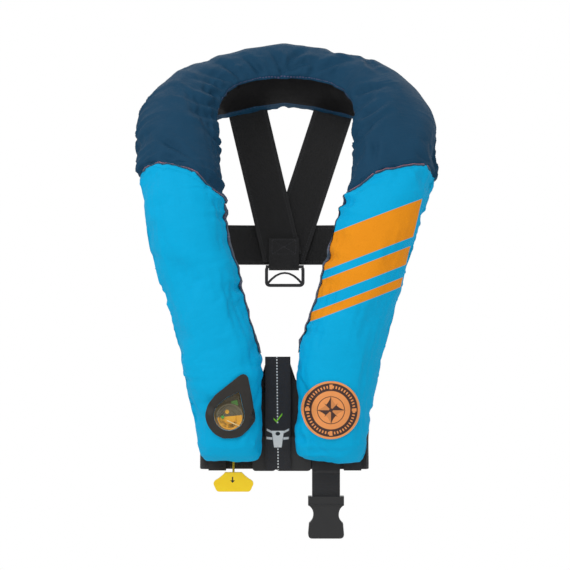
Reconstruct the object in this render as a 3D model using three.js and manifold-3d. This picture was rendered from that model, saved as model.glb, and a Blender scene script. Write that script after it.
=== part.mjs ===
// Inflatable life jacket: a horseshoe cover that holds the folded air bladder and its automatic
// inflator, carried on a yoke of webbing with a waist belt and a crotch strap.
// Millimetres. +Z is up, +Y points to the wearer's back and +X to the wearer's left.
// The origin is the nape: the middle of the collar's neck edge, which rests on the wearer's neck.
import * as THREE from "three";
import { mergeVertices } from "three/addons/utils/BufferGeometryUtils.js";
import Module from "manifold-3d";

const wasm = await Module();
wasm.setup();

// ---- driving dimensions ----------------------------------------------------------------------
const gap = 0.3; // clearance between pieces that rest on each other

// Horseshoe cover, as cross-sections from a lobe's hem up to the nape: where the middle of each
// lies, its width across, and how far it bulges in front and behind. The lobes hang a little
// towards the wearer's right, and the right one is folded narrower.
const chestY = -148; // middle plane of the lobes
const hemZ = -457;
const lobeSections = [
  { z: hemZ, right: [-60, 57], left: [53, 61], crown: 9, back: 4 },
  { z: hemZ + 5, right: [-60, 67], left: [53.5, 75], crown: 19, back: 7 },
  { z: hemZ + 20, right: [-61, 73], left: [53.5, 81], crown: 29, back: 9.5 },
  { z: -390, right: [-66, 81], left: [58, 85], crown: 34, back: 10 },
  { z: -343, right: [-73.5, 92], left: [62.5, 97], crown: 34, back: 10 },
  { z: -297, right: [-83.5, 86], left: [75.5, 92], crown: 34, back: 10 },
  { z: -251, right: [-97, 89], left: [89, 92], crown: 34, back: 10 },
  { z: -206, right: [-110, 92], left: [101, 92], crown: 34, back: 10 },
];
// Towards the neck both sides are alike, but the left one stands a little further out.
const collarSections = [
  { at: [115, -142, -162], leftOut: 1, face: [-0.02, -0.95, 0.3], width: 92, crown: 34, back: 10 },
  { at: [121.5, -120, -130], leftOut: 3, face: [0, -0.76, 0.65], width: 96, crown: 36, back: 9.5 },
  { at: [124, -85, -95], leftOut: 4.5, face: [0.18, -0.62, 0.75], width: 98, crown: 41, back: 9 },
  { at: [121, -44, -65], leftOut: 4, face: [0.45, -0.35, 0.8], width: 98, crown: 47, back: 8 },
  { at: [97, -1, -41], leftOut: 3, face: [0.52, 0.04, 0.83], width: 93, crown: 55, back: 8 },
  { at: [57, 28, -25], leftOut: 1, face: [0.28, 0.36, 0.88], width: 86, crown: 61, back: 7 },
];
const nape = { width: 80, crown: 64, back: 7, tilt: 0.395 }; // tilt: how far the collar slopes down to the back
const roundness = 0.8; // below 1 the cross-section is fuller than an ellipse
const coverWall = 2.2; // padded cover fabric
const liningWall = 1.6;
const outerWrap = 0.7; // how far round the outer edge the cover reaches, in radians
const innerWrap = 0.3;
const bladderSlack = 2.8; // between the folded bladder and the cover

// Seam between the dark collar and the bright lobes, with its piping.
const seamSection = 9; // counted in cross-sections from the hem
const seamDrop = 52; // how much lower the seam is at the neck edge
const pipingWidth = 2.2;
const pipingProud = 1;

// Webbing: waist belt, back belt and yoke straps.
const webbing = 2; // thickness
const beltWidth = 40;
const beltZ = -448; // middle of the belt in front
const backBeltWidth = 50;
const backBeltHalf = 78; // half its length, side to side
const backBeltZ = -206.5;
const backBeltY = 77.6;
const lap = 18; // length of a sewn lap joint
const yokeWidth = 49;
const yokeTop = { right: [-48, 66, -32], left: [66, 60, -26] };
const yokeFootX = { right: -2.6, left: 1 };
const keeperWidth = 20;
const keeperWall = 1.2;
const keeperX = { right: -77, left: 78 };

// Ring at the foot of the yoke, and the loop that holds it.
const ring = { x: 0.3, width: 50, height: 27.5, bar: 4, z: -234 }; // z: axis of its top bar
const ringLoop = { x: -0.7, width: 38, height: 36 };

// Front buckle, and the flap that covers it.
const buckleX = -9.5; // where its halves meet
const buckleHeight = beltWidth + 4;
const buckleDepth = 12;
const socketLength = 40;
const plugLength = 27;
const tongue = { length: 20, height: 32, depth: 5 };
const beltGrip = 9; // how far the webbing goes into a buckle half
const flap = { x: -7.6, width: 29, top: -339, bottom: beltZ - beltWidth / 2, depth: 5 };
const panel = { width: 106, x: -5, top: -341, bottom: beltZ + beltWidth / 2 + 3, thick: 1.2 };

// Crotch strap and its buckle socket.
const crotch = { x: 47.6, width: 32, ply: 1.4, top: beltZ - beltWidth / 2 - 5, bar: 4 };
const crotchSocket = { width: 41, waist: 29, depth: 12, top: -499, length: 48, barDrop: 7.5 };

// Window, inflator and pull tab.
const windowAt = { x: -62, z: -403 };
const windowFrameThick = 1.8;
const paneRadius = 18.5; // of its round foot
const paneTip = 27; // how high its corner stands over its middle
const paneThick = 0.8;
const paneLap = 2.5; // how far the pane overlaps the cover
const badge = { x: 52, z: -397, radius: 32.5, thick: 1 };
const inflatorLean = 0.25; // radians, so that the cylinder follows the lobe
const inflatorBody = { width: 30, height: 46, front: -170, back: -146.7 };
const cylinderRadius = 13.5;
const cylinderLength = 112;
const lever = { length: 22, height: 7, depth: 6 };
const pullTab = { x: -58, y: -150.5, width: 47, height: 22, thick: 4.2, top: -470 };
const lanyardRadius = 1.2;

// Oral tube, its cap and the whistle, in the left lobe.
const oralTube = { x: 74, y: -163, z: -318, radius: 6, wall: 1.6, length: 84, cap: 16 };
const whistle = { x: 58, y: -163, z: -372, width: 16, depth: 9, length: 44 };

// ---- solids ----------------------------------------------------------------------------------
const vector = (x, y, z) => new THREE.Vector3(x, y, z);

function toSolid(geometry) {
  const bare = (geometry.index ? geometry.toNonIndexed() : geometry.clone());
  const positions = new THREE.BufferGeometry();
  positions.setAttribute("position", bare.getAttribute("position"));
  const merged = mergeVertices(positions, 1e-4);
  const corners = [];
  for (let i = 0; i < merged.index.count; i += 3) {
    const [a, b, c] = merged.index.array.subarray(i, i + 3);
    if (a !== b && b !== c && c !== a) corners.push(a, b, c);
  }
  const mesh = new wasm.Mesh({
    numProp: 3, vertProperties: merged.attributes.position.array, triVerts: new Uint32Array(corners),
  });
  return new wasm.Manifold(mesh);
}

function toGeometry(solid) {
  const mesh = solid.getMesh();
  const geometry = new THREE.BufferGeometry();
  geometry.setAttribute("position", new THREE.BufferAttribute(mesh.vertProperties, 3));
  geometry.setIndex(new THREE.BufferAttribute(mesh.triVerts, 1));
  return geometry;
}

const cut = (body, ...tools) => toGeometry(tools.reduce((s, t) => s.subtract(toSolid(t)), toSolid(body)));
const join = (body, ...more) => toGeometry(more.reduce((s, m) => s.add(toSolid(m)), toSolid(body)));

// Turns a closed triangle list so that its faces point out.
function facingOut(points, faces) {
  const volume = faces.reduce((sum, [a, b, c]) => sum + points[a].dot(points[b].clone().cross(points[c])), 0);
  const turned = volume < 0 ? faces.map(([a, b, c]) => [a, c, b]) : faces;
  const geometry = new THREE.BufferGeometry().setFromPoints(points);
  geometry.setIndex(turned.flat());
  return geometry;
}

// A sheet with a thickness: front(i, j) and behind(i, j) give its two faces on a grid.
function sheet(rows, columns, front, behind) {
  const points = [];
  for (const face of [front, behind])
    for (let i = 0; i <= rows; i++)
      for (let j = 0; j <= columns; j++) points.push(face(i, j));
  const at = (side, i, j) => (side * (rows + 1) + i) * (columns + 1) + j;
  const faces = [];
  const quad = (a, b, c, d) => faces.push([a, b, c], [a, c, d]);
  for (let i = 0; i < rows; i++)
    for (let j = 0; j < columns; j++) {
      quad(at(0, i, j), at(0, i + 1, j), at(0, i + 1, j + 1), at(0, i, j + 1));
      quad(at(1, i, j), at(1, i, j + 1), at(1, i + 1, j + 1), at(1, i + 1, j));
    }
  for (let i = 0; i < rows; i++) {
    quad(at(0, i, 0), at(1, i, 0), at(1, i + 1, 0), at(0, i + 1, 0));
    quad(at(0, i, columns), at(0, i + 1, columns), at(1, i + 1, columns), at(1, i, columns));
  }
  for (let j = 0; j < columns; j++) {
    quad(at(0, 0, j), at(0, 0, j + 1), at(1, 0, j + 1), at(1, 0, j));
    quad(at(0, rows, j), at(1, rows, j), at(1, rows, j + 1), at(0, rows, j + 1));
  }
  return facingOut(points, faces);
}

// A solid skinned over closed rings of points, with flat fans at its ends.
function loft(rings) {
  const count = rings[0].length;
  const points = rings.flat();
  const faces = [];
  for (let i = 0; i < rings.length - 1; i++)
    for (let j = 0; j < count; j++) {
      const a = i * count + j;
      const b = i * count + ((j + 1) % count);
      faces.push([a, b, b + count], [a, b + count, a + count]);
    }
  for (const [ring, side] of [[0, 1], [rings.length - 1, -1]]) {
    const middle = points.push(rings[ring].reduce((s, p) => s.add(p), vector(0, 0, 0)).divideScalar(count)) - 1;
    for (let j = 0; j < count; j++) {
      const a = ring * count + j;
      const b = ring * count + ((j + 1) % count);
      faces.push(side > 0 ? [middle, b, a] : [middle, a, b]);
    }
  }
  return facingOut(points, faces);
}

// A strap: a flat ribbon along points, across gives its width direction at each one.
function ribbon(points, across, width, thick) {
  const along = points.map((p, i) =>
    points[Math.min(i + 1, points.length - 1)].clone().sub(points[Math.max(i - 1, 0)]).normalize());
  const side = points.map((p, i) => {
    const direction = (Array.isArray(across) ? across[i] : across).clone();
    return direction.addScaledVector(along[i], -direction.dot(along[i])).normalize();
  });
  const normal = points.map((p, i) => along[i].clone().cross(side[i]));
  const face = (sign) => (i, j) =>
    points[i].clone().addScaledVector(side[i], (j - 0.5) * width).addScaledVector(normal[i], (sign * thick) / 2);
  return sheet(points.length - 1, 1, face(1), face(-1));
}

function box(width, depth, height, x = 0, y = 0, z = 0) {
  return new THREE.BoxGeometry(width, depth, height).translate(x, y, z);
}

// A cylinder along Y from y0 to y1.
function discY(radius, y0, y1, x = 0, z = 0, segments = 28) {
  return new THREE.CylinderGeometry(radius, radius, Math.abs(y1 - y0), segments).translate(x, (y0 + y1) / 2, z);
}

// A cylinder along Z from z0 to z1.
function discZ(radius, z0, z1, x = 0, y = 0, segments = 24) {
  return new THREE.CylinderGeometry(radius, radius, Math.abs(z1 - z0), segments)
    .rotateX(Math.PI / 2)
    .translate(x, y, (z0 + z1) / 2);
}

// A flat shape drawn in X and Z, with its thickness from y0 to y1.
function plate(shape, y0, y1, curveSegments = 6) {
  const made = new THREE.ExtrudeGeometry(shape, { depth: y1 - y0, bevelEnabled: false, curveSegments });
  return made.rotateX(Math.PI / 2).translate(0, y1, 0);
}

// A profile drawn in Y and Z, with its width from x0 to x1.
function rail(shape, x0, x1, curveSegments = 6) {
  const made = new THREE.ExtrudeGeometry(shape, { depth: x1 - x0, bevelEnabled: false, curveSegments });
  return made.rotateX(Math.PI / 2).rotateZ(Math.PI / 2).translate(x0, 0, 0);
}

function roundedRect(width, height, radius, x = 0, z = 0, Kind = THREE.Shape) {
  const shape = new Kind();
  const [w, h, r] = [width / 2, height / 2, radius];
  shape.moveTo(x - w + r, z - h);
  shape.lineTo(x + w - r, z - h);
  shape.absarc(x + w - r, z - h + r, r, -Math.PI / 2, 0);
  shape.lineTo(x + w, z + h - r);
  shape.absarc(x + w - r, z + h - r, r, 0, Math.PI / 2);
  shape.lineTo(x - w + r, z + h);
  shape.absarc(x - w + r, z + h - r, r, Math.PI / 2, Math.PI);
  shape.lineTo(x - w, z - h + r);
  shape.absarc(x - w + r, z - h + r, r, Math.PI, 1.5 * Math.PI);
  return shape;
}

function circle(radius, x = 0, z = 0, Kind = THREE.Shape, count = 32) {
  const angles = Array.from({ length: count }, (_, i) => (i / count) * 2 * Math.PI);
  return new Kind(angles.map((a) => new THREE.Vector2(x + radius * Math.cos(a), z + radius * Math.sin(a))));
}

// ---- the horseshoe ---------------------------------------------------------------------------
const lobe = (side) => lobeSections.map((s) => ({
  at: [s[side][0], chestY, s.z], face: [0, -1, 0], width: s[side][1], crown: s.crown, back: s.back,
}));
const rightOf = (s) => ({ ...s, at: [-s.at[0], s.at[1], s.at[2]], face: [-s.face[0], s.face[1], s.face[2]] });
const leftOf = (s) => ({ ...s, at: [s.at[0] + s.leftOut, s.at[1], s.at[2]] });
const napeStation = {
  at: [0, (nape.width / 2) * Math.cos(nape.tilt), (-nape.width / 2) * Math.sin(nape.tilt)],
  face: [0, Math.sin(nape.tilt), Math.cos(nape.tilt)],
  ...nape,
};
const allStations = [
  ...lobe("right"), ...collarSections.map(rightOf), napeStation,
  ...collarSections.map(leftOf).reverse(), ...lobe("left").reverse(),
];
const lastStation = allStations.length - 1;
const spine = new THREE.CatmullRomCurve3(allStations.map((s) => vector(...s.at)));
const facing = new THREE.CatmullRomCurve3(allStations.map((s) => vector(...s.face)));
const sizes = new THREE.CatmullRomCurve3(allStations.map((s) => vector(s.width / 2, s.crown, s.back)));

// Stations count from the wearer's right hem (0) over the nape to the left hem (lastStation).
const frameAt = (station) => {
  const t = THREE.MathUtils.clamp(station / lastStation, 0, 1);
  const along = spine.getTangent(t);
  const face = facing.getPoint(t);
  face.addScaledVector(along, -face.dot(along)).normalize();
  const [half, crown, back] = sizes.getPoint(t).toArray();
  return { middle: spine.getPoint(t), face, inward: along.clone().cross(face), half, crown, back };
};

const power = (x) => Math.sign(x) * Math.abs(x) ** roundness;

// A point of the cross-section: angle 0 is the neck edge, half a turn is the outer edge, and the
// front lies between them. inset moves it in from the cover's outer surface.
function sectionPoint(station, angle, inset = 0, frontHeight = null) {
  const f = frameAt(station);
  const s = power(Math.sin(angle));
  const height = s > 0 ? (frontHeight ?? f.crown - inset) : f.back - inset;
  return f.middle
    .addScaledVector(f.inward, (f.half - inset) * power(Math.cos(angle)))
    .addScaledVector(f.face, height * s);
}

// How many stations a length along the horseshoe is, near that station.
function stationsFor(length, station) {
  const step = 0.01;
  const near = spine.getPoint((station - step) / lastStation).distanceTo(spine.getPoint((station + step) / lastStation));
  return (length * 2 * step) / near;
}

// The seam's station at an angle round the section, on the wearer's right or left.
function seamAt(side, angle) {
  const towardsNeck = (1 + Math.cos(angle)) / 2;
  const drop = stationsFor(seamDrop, seamSection) * towardsNeck ** 1.2;
  return side < 0 ? seamSection - drop : lastStation - seamSection + drop;
}

const coverColumns = 14;
const liningColumns = 7;
const coverAngle = (j) => -innerWrap + (j / coverColumns) * (Math.PI + innerWrap + outerWrap);
const outerEdgeGap = 0.075; // radians between the edges of the cover and of the lining
const neckEdgeGap = 0.13;
const liningAngle = (j) => Math.PI + outerWrap + outerEdgeGap
  + (j / liningColumns) * (Math.PI - outerWrap - innerWrap - outerEdgeGap - neckEdgeGap);

// A piece of the horseshoe's skin between two stations, which may depend on the angle.
function skin(from, to, rows, angles, columns, outside, inside) {
  const point = (inset) => (i, j) => {
    const angle = angles(j);
    return sectionPoint(from(angle) + (i / rows) * (to(angle) - from(angle)), angle, inset);
  };
  return sheet(rows, columns, point(outside), point(inside));
}

const hemRight = () => 0;
const hemLeft = () => lastStation;
const seamEdge = (side, way) => (angle) => {
  const seam = seamAt(side, angle);
  return seam + way * stationsFor(pipingWidth / 2 + gap, seam);
};
const pipingEdge = (side, way) => (angle) => {
  const seam = seamAt(side, angle);
  return seam + way * stationsFor(pipingWidth / 2, seam);
};

const lobeRows = 13;
const collarRows = 20;
const rightLobe = skin(hemRight, seamEdge(-1, -1), lobeRows, coverAngle, coverColumns, 0, coverWall);
const leftLobe = skin(seamEdge(1, 1), hemLeft, lobeRows, coverAngle, coverColumns, 0, coverWall);
const collar = skin(seamEdge(-1, 1), seamEdge(1, -1), collarRows, coverAngle, coverColumns, 0, coverWall);
const piping = (side) =>
  skin(pipingEdge(side, -1), pipingEdge(side, 1), 1, coverAngle, coverColumns, -pipingProud, coverWall);

const liningSeam = 7.9;
const liningJoint = stationsFor(gap, liningSeam);
const liningRight = skin(hemRight, () => liningSeam - liningJoint, 9, liningAngle, liningColumns, 0, liningWall);
const liningLeft = skin(
  () => lastStation - liningSeam + liningJoint, hemLeft, 9, liningAngle, liningColumns, 0, liningWall);
const liningCollar = skin(
  () => liningSeam, () => lastStation - liningSeam, collarRows, liningAngle, liningColumns, 0, liningWall);

// The horseshoe as one solid grown by a clearance, to trim what lies against it.
function horseshoeSolid(inset, from = 0, to = lastStation, rows = 44, frontHeight = () => null) {
  const around = 26;
  const rings = [];
  for (let i = 0; i <= rows; i++) {
    const station = from + (i / rows) * (to - from);
    const ring = [];
    for (let j = 0; j < around; j++)
      ring.push(sectionPoint(station, (j / around) * 2 * Math.PI, inset, frontHeight(station)));
    rings.push(ring);
  }
  return loft(rings);
}

// ---- materials -------------------------------------------------------------------------------
const finish = (color, roughness, metalness = 0) => new THREE.MeshStandardMaterial({ color, roughness, metalness });
const materials = {
  collarFabric: finish("#25455d", 0.75),
  lobeFabric: finish("#00a9dd", 0.7),
  lining: finish("#201f1f", 0.95),
  piping: finish("#8d5a8a", 0.7),
  webbing: finish("#2a2a2a", 0.85),
  bladder: finish("#f2b90f", 0.6),
  blackPlastic: finish("#353535", 0.5),
  yellowPlastic: finish("#f8d20e", 0.45),
  greenPlastic: finish("#2f9e4f", 0.45),
  windowVinyl: finish("#3b3b38", 0.55),
  clearVinyl: finish("#e8e6dc", 0.15),
  steel: finish("#8e9092", 0.35, 1),
  ringSteel: finish("#6a6a6a", 0.4, 1),
  printFilm: finish("#fba62e", 0.6),
  label: finish("#d9d9d9", 0.6),
};

const jacket = new THREE.Group();
function add(name, geometry, material, group = jacket) {
  const mesh = new THREE.Mesh(geometry, material);
  mesh.name = name;
  group.add(mesh);
  return mesh;
}

// ---- horseshoe pieces ------------------------------------------------------------------------
// The pane and what it covers: round at the foot, with a corner up towards the neck edge.
function paneShape(radius, Kind = THREE.Shape) {
  const { x, z } = windowAt;
  const reach = radius - paneRadius;
  const shape = new Kind();
  const left = 2.38; // radians, where the round foot ends
  shape.moveTo(x + radius, z);
  shape.lineTo(x + 13 + 0.6 * reach, z + paneTip - 2 + reach);
  shape.lineTo(x + 12 + 0.4 * reach, z + paneTip - 0.4 + reach);
  shape.lineTo(x + 10 + 0.2 * reach, z + paneTip + reach);
  shape.quadraticCurveTo(x - 4, z + paneTip - 4 + reach, x + radius * Math.cos(left), z + radius * Math.sin(left));
  shape.absarc(x, z, radius, left, 2 * Math.PI, false);
  return shape;
}
const opening = plate(paneShape(paneRadius - paneLap), chestY - 60, chestY, 10);
add("collar_cover", collar, materials.collarFabric);
add("right_lobe_cover", cut(rightLobe, opening), materials.lobeFabric);
add("left_lobe_cover", leftLobe, materials.lobeFabric);
add("right_seam_piping", piping(-1), materials.piping);
add("left_seam_piping", piping(1), materials.piping);
add("collar_lining", liningCollar, materials.lining);
add("right_lobe_lining", liningRight, materials.lining);
add("left_lobe_lining", liningLeft, materials.lining);

// Binding along the neck edge of each lobe, from the seam down.
const bindingColumns = 4;
const bindingThick = 1;
const bindingAngle = (j) => -0.24 + (j / bindingColumns) * 0.46;
const bindingEnd = 4; // in cross-sections from the hem
const bindingLift = 0.6;
const binding = (side) => {
  const seam = (angle) => seamEdge(side, side)(angle) + side * stationsFor(pipingProud, seamSection);
  const far = () => (side < 0 ? bindingEnd : lastStation - bindingEnd);
  const [from, to] = side < 0 ? [far, seam] : [seam, far];
  return skin(from, to, 9, bindingAngle, bindingColumns, -bindingLift - bindingThick, -bindingLift);
};
add("right_edge_binding", binding(-1), materials.collarFabric);
add("left_edge_binding", binding(1), materials.collarFabric);

// What lies on a lobe's front inside a drawn outline, following its bulge.
const lift = 0.6;
function conforming(outline, from, to, thick) {
  const outer = toSolid(horseshoeSolid(-lift - thick, from, to, 14));
  const inner = toSolid(horseshoeSolid(-lift, from - 0.1, to + 0.1, 14));
  return toGeometry(outer.subtract(inner).intersect(toSolid(plate(outline, chestY - 60, chestY - 4, 12))));
}

// Window: a shield-shaped frame round a clear pane, both sewn on the cover.
function windowOutline(x, z) {
  const radius = paneRadius + 7.5;
  const shape = new THREE.Shape();
  shape.moveTo(x + 18, z + 51);
  shape.quadraticCurveTo(x + 21, z + 50, x + 22, z + 46);
  shape.lineTo(x + 29, z - 8);
  shape.quadraticCurveTo(x + 29, z - 13, x + 25, z - 15);
  shape.absarc(x, z, radius, -1.09, -3.7, true);
  shape.quadraticCurveTo(x - 12, z + 44, x + 18, z + 51);
  return shape;
}
const frameOutline = windowOutline(windowAt.x, windowAt.z);
frameOutline.holes.push(paneShape(paneRadius, THREE.Path));
const paneOutline = paneShape(paneRadius - gap);
add("window_frame", conforming(frameOutline, 1.2, 4.6, windowFrameThick), materials.windowVinyl);
add("window_pane", conforming(paneOutline, 1.2, 4.6, paneThick), materials.clearVinyl);
add("round_badge", conforming(circle(badge.radius, badge.x, badge.z), lastStation - 4.6, lastStation - 1, badge.thick), materials.printFilm);

// ---- inflator --------------------------------------------------------------------------------
// Drawn upright round the window's centre, then leant over to follow the lobe.
const inInflator = (geometry) => geometry.rotateY(-inflatorLean).translate(windowAt.x, 0, windowAt.z);
const bodyMiddleY = (inflatorBody.front + inflatorBody.back) / 2;
const neckTop = inflatorBody.height / 2 + 10;
const leverPivot = { x: 12, z: -inflatorBody.height / 2 - lever.height / 2 - 1.5 };
const forkWall = 2.5;
const fork = (y0, y1) => box(9, y1 - y0, lever.height + 4, leverPivot.x, (y0 + y1) / 2, leverPivot.z + 1);
const leverGap = lever.depth / 2 + gap;
const bodyShell = join(
  plate(roundedRect(inflatorBody.width, inflatorBody.height, 6), inflatorBody.front, inflatorBody.back),
  discZ(9, inflatorBody.height / 2 - 2, neckTop, 0, bodyMiddleY),
  fork(bodyMiddleY - leverGap - forkWall, bodyMiddleY - leverGap),
  fork(bodyMiddleY + leverGap, bodyMiddleY + leverGap + forkWall),
);
const neckBore = discZ(5.5, neckTop - 8, neckTop + 1, 0, bodyMiddleY);
const pinBore = discY(1.8, bodyMiddleY - 12, bodyMiddleY + 12, leverPivot.x, leverPivot.z, 16);
add("inflator_body", inInflator(cut(bodyShell, neckBore, pinBore)), materials.blackPlastic);
add("lever_pin", inInflator(discY(1.5, bodyMiddleY - 6, bodyMiddleY + 6, leverPivot.x, leverPivot.z, 16)), materials.steel);
add("sensing_cap", inInflator(
  discY(11, inflatorBody.front - 5, inflatorBody.front - gap, -3, -5, 24)), materials.yellowPlastic);
add("status_indicator", inInflator(
  box(7, 2.5, 6, 9, inflatorBody.front - gap - 1.25, 11)), materials.greenPlastic);
add("manifold_flange", inInflator(
  discY(17, inflatorBody.back + gap, inflatorBody.back + gap + 2.4, 0, 0, 28)), materials.blackPlastic);

const gasCylinder = new THREE.LatheGeometry(
  [
    [0, 0], [5, 0], [5, 9], [8, 13], [12, 17], [cylinderRadius, 23],
    [cylinderRadius, cylinderLength - 8], [10, cylinderLength - 2], [0, cylinderLength],
  ].map(([r, z]) => new THREE.Vector2(r, z)), 24).rotateX(Math.PI / 2);
const cylinderFoot = neckTop - 8 + gap;
add("gas_cylinder", inInflator(gasCylinder.translate(0, bodyMiddleY, cylinderFoot)), materials.steel);

// The lever's free end stands over the pull tab, which hangs from it on a lanyard.
const leverArm = plate(roundedRect(lever.length, lever.height, 3, -lever.length / 2 + 4, 0),
  -lever.depth / 2, lever.depth / 2).translate(leverPivot.x, bodyMiddleY, leverPivot.z);
add("firing_lever", inInflator(cut(leverArm, pinBore)), materials.blackPlastic);
const leverEnd = vector(-lever.length + 8, 0, -lever.height / 2)
  .add(vector(leverPivot.x, bodyMiddleY, leverPivot.z))
  .applyAxisAngle(vector(0, 1, 0), -inflatorLean)
  .add(vector(windowAt.x, 0, windowAt.z));

const tabOutline = new THREE.Shape();
const tabHalf = pullTab.width / 2;
const tabNeck = 9.5; // half its width at the top
tabOutline.moveTo(pullTab.x - tabNeck, pullTab.top);
tabOutline.lineTo(pullTab.x + tabNeck, pullTab.top);
tabOutline.quadraticCurveTo(pullTab.x + tabNeck + 4, pullTab.top - 5, pullTab.x + tabHalf - 3, pullTab.top - 9);
tabOutline.quadraticCurveTo(pullTab.x + tabHalf + 1, pullTab.top - 12, pullTab.x + tabHalf - 2.5, pullTab.top - 17);
tabOutline.quadraticCurveTo(pullTab.x + tabHalf - 4, pullTab.top - pullTab.height, pullTab.x + tabHalf - 7, pullTab.top - pullTab.height);
tabOutline.lineTo(pullTab.x - tabHalf + 7, pullTab.top - pullTab.height);
tabOutline.quadraticCurveTo(pullTab.x - tabHalf + 4, pullTab.top - pullTab.height, pullTab.x - tabHalf + 2.5, pullTab.top - 17);
tabOutline.quadraticCurveTo(pullTab.x - tabHalf - 1, pullTab.top - 12, pullTab.x - tabHalf + 3, pullTab.top - 9);
tabOutline.quadraticCurveTo(pullTab.x - tabNeck - 4, pullTab.top - 5, pullTab.x - tabNeck, pullTab.top);
const tabBore = discZ(lanyardRadius + gap, pullTab.top - 8, pullTab.top + 5, pullTab.x, pullTab.y, 12);
add("pull_tab", cut(plate(tabOutline, pullTab.y - pullTab.thick / 2, pullTab.y + pullTab.thick / 2), tabBore),
  materials.yellowPlastic);

function tube(points, radius, steps, sides) {
  return new THREE.ExtrudeGeometry(circle(radius, 0, 0, THREE.Shape, sides),
    { steps, bevelEnabled: false, extrudePath: new THREE.CatmullRomCurve3(points) });
}
const lanyardPath = [
  leverEnd.clone().add(vector(0, 0, -1)),
  leverEnd.clone().add(vector(0, 0, -4)),
  vector(pullTab.x, pullTab.y - 2, hemZ + 14),
  vector(pullTab.x, pullTab.y, hemZ - 2),
  vector(pullTab.x, pullTab.y, pullTab.top - 8 + gap),
];
add("pull_lanyard", tube(lanyardPath, lanyardRadius, 16, 12), materials.yellowPlastic);

// ---- oral tube and whistle -------------------------------------------------------------------
const inLeftLobe = (geometry) => geometry.rotateY(inflatorLean).translate(oralTube.x, oralTube.y, oralTube.z);
const turned = (profile, segments) =>
  new THREE.LatheGeometry(profile.map(([r, z]) => new THREE.Vector2(r, z)), segments).rotateX(Math.PI / 2);
const bore = oralTube.radius - oralTube.wall;
add("oral_tube", inLeftLobe(turned(
  [[bore, 0], [oralTube.radius, 0], [oralTube.radius, oralTube.length], [bore, oralTube.length], [bore, 0]], 20)),
materials.blackPlastic);
const capInside = oralTube.radius + gap;
add("oral_cap", inLeftLobe(turned(
  [
    [0, oralTube.length + gap], [capInside, oralTube.length + gap], [capInside, oralTube.length - oralTube.cap + 4],
    [capInside + 1.8, oralTube.length - oralTube.cap + 4], [capInside + 1.8, oralTube.length + 4], [0, oralTube.length + 4],
  ], 20)), materials.yellowPlastic);
const whistleBody = cut(
  plate(roundedRect(whistle.width, whistle.length, 4, whistle.x, whistle.z),
    whistle.y - whistle.depth / 2, whistle.y + whistle.depth / 2),
  box(whistle.width - 5, 4, 12, whistle.x, whistle.y, whistle.z + whistle.length / 2 - 4),
  box(whistle.width - 7, 8, 6, whistle.x, whistle.y - whistle.depth / 2, whistle.z + 4),
);
add("whistle", whistleBody, materials.yellowPlastic);

// ---- bladder and hems ------------------------------------------------------------------------
// The folded bladder fills the cover, and leaves room for what is packed with it.
const bladderInset = coverWall + bladderSlack;
const room = 1; // clearance round what is packed in the bladder
const inflatorRoom = inInflator(box(inflatorBody.width + 16, 60, inflatorBody.height + 60,
  0, inflatorBody.back + 3 - 30, -12));
const cylinderRoom = inInflator(discZ(cylinderRadius + room, 0, cylinderFoot + cylinderLength + room, 0, bodyMiddleY, 20));
// Both pockets are open to the front, where the cover closes them.
const pocketDepth = 40;
const capReach = 20; // room to pull the cap off
const tubeRoom = inLeftLobe(box(2 * (capInside + 1.8 + room), pocketDepth, oralTube.length + capReach + 4,
  0, capInside + 1.8 + gap - pocketDepth / 2, (oralTube.length + capReach) / 2));
const whistleRoom = box(whistle.width + 2 * gap, pocketDepth, whistle.length + 2 * gap,
  whistle.x, whistle.y + whistle.depth / 2 + gap - pocketDepth / 2, whistle.z);
const bladder = cut(horseshoeSolid(bladderInset, 0.75, lastStation - 0.75, 40),
  inflatorRoom, cylinderRoom, tubeRoom, whistleRoom);
add("air_bladder", bladder, materials.bladder);

const hemClosed = 0.55; // in cross-sections
const lanyardSlot = box(2 * lanyardRadius + 14, 2 * lanyardRadius + 10, 60, pullTab.x, pullTab.y - 4.2, hemZ);
add("right_hem_closure", cut(horseshoeSolid(bladderInset, 0, hemClosed, 4), lanyardSlot), materials.lining);
add("left_hem_closure", horseshoeSolid(bladderInset, lastStation - hemClosed, lastStation, 4), materials.lining);

// ---- belts -----------------------------------------------------------------------------------
// Behind the lobes the belt lies between the keepers' front and back walls.
const backPlane = chestY + 10 + gap; // just behind the lobes' linings
const beltY = backPlane + keeperWall + gap + webbing / 2;
const tailY = beltY + webbing + gap;
const lapZ = vector(0, 0, 1);

const backBeltFlat = 26; // half the length of its straight middle
const backBeltAt = (x) => vector(
  x, backBeltY - 12 * (Math.max(0, Math.abs(x) - backBeltFlat) / (backBeltHalf - backBeltFlat)) ** 2, backBeltZ);
const backBeltPoints = [-1, -0.85, -0.68, -0.5, -0.32, 0, 0.32, 0.5, 0.68, 0.85, 1].map((t) =>
  backBeltAt(t * backBeltHalf));
add("back_belt", ribbon(backBeltPoints, lapZ, backBeltWidth, webbing), materials.webbing);

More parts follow.
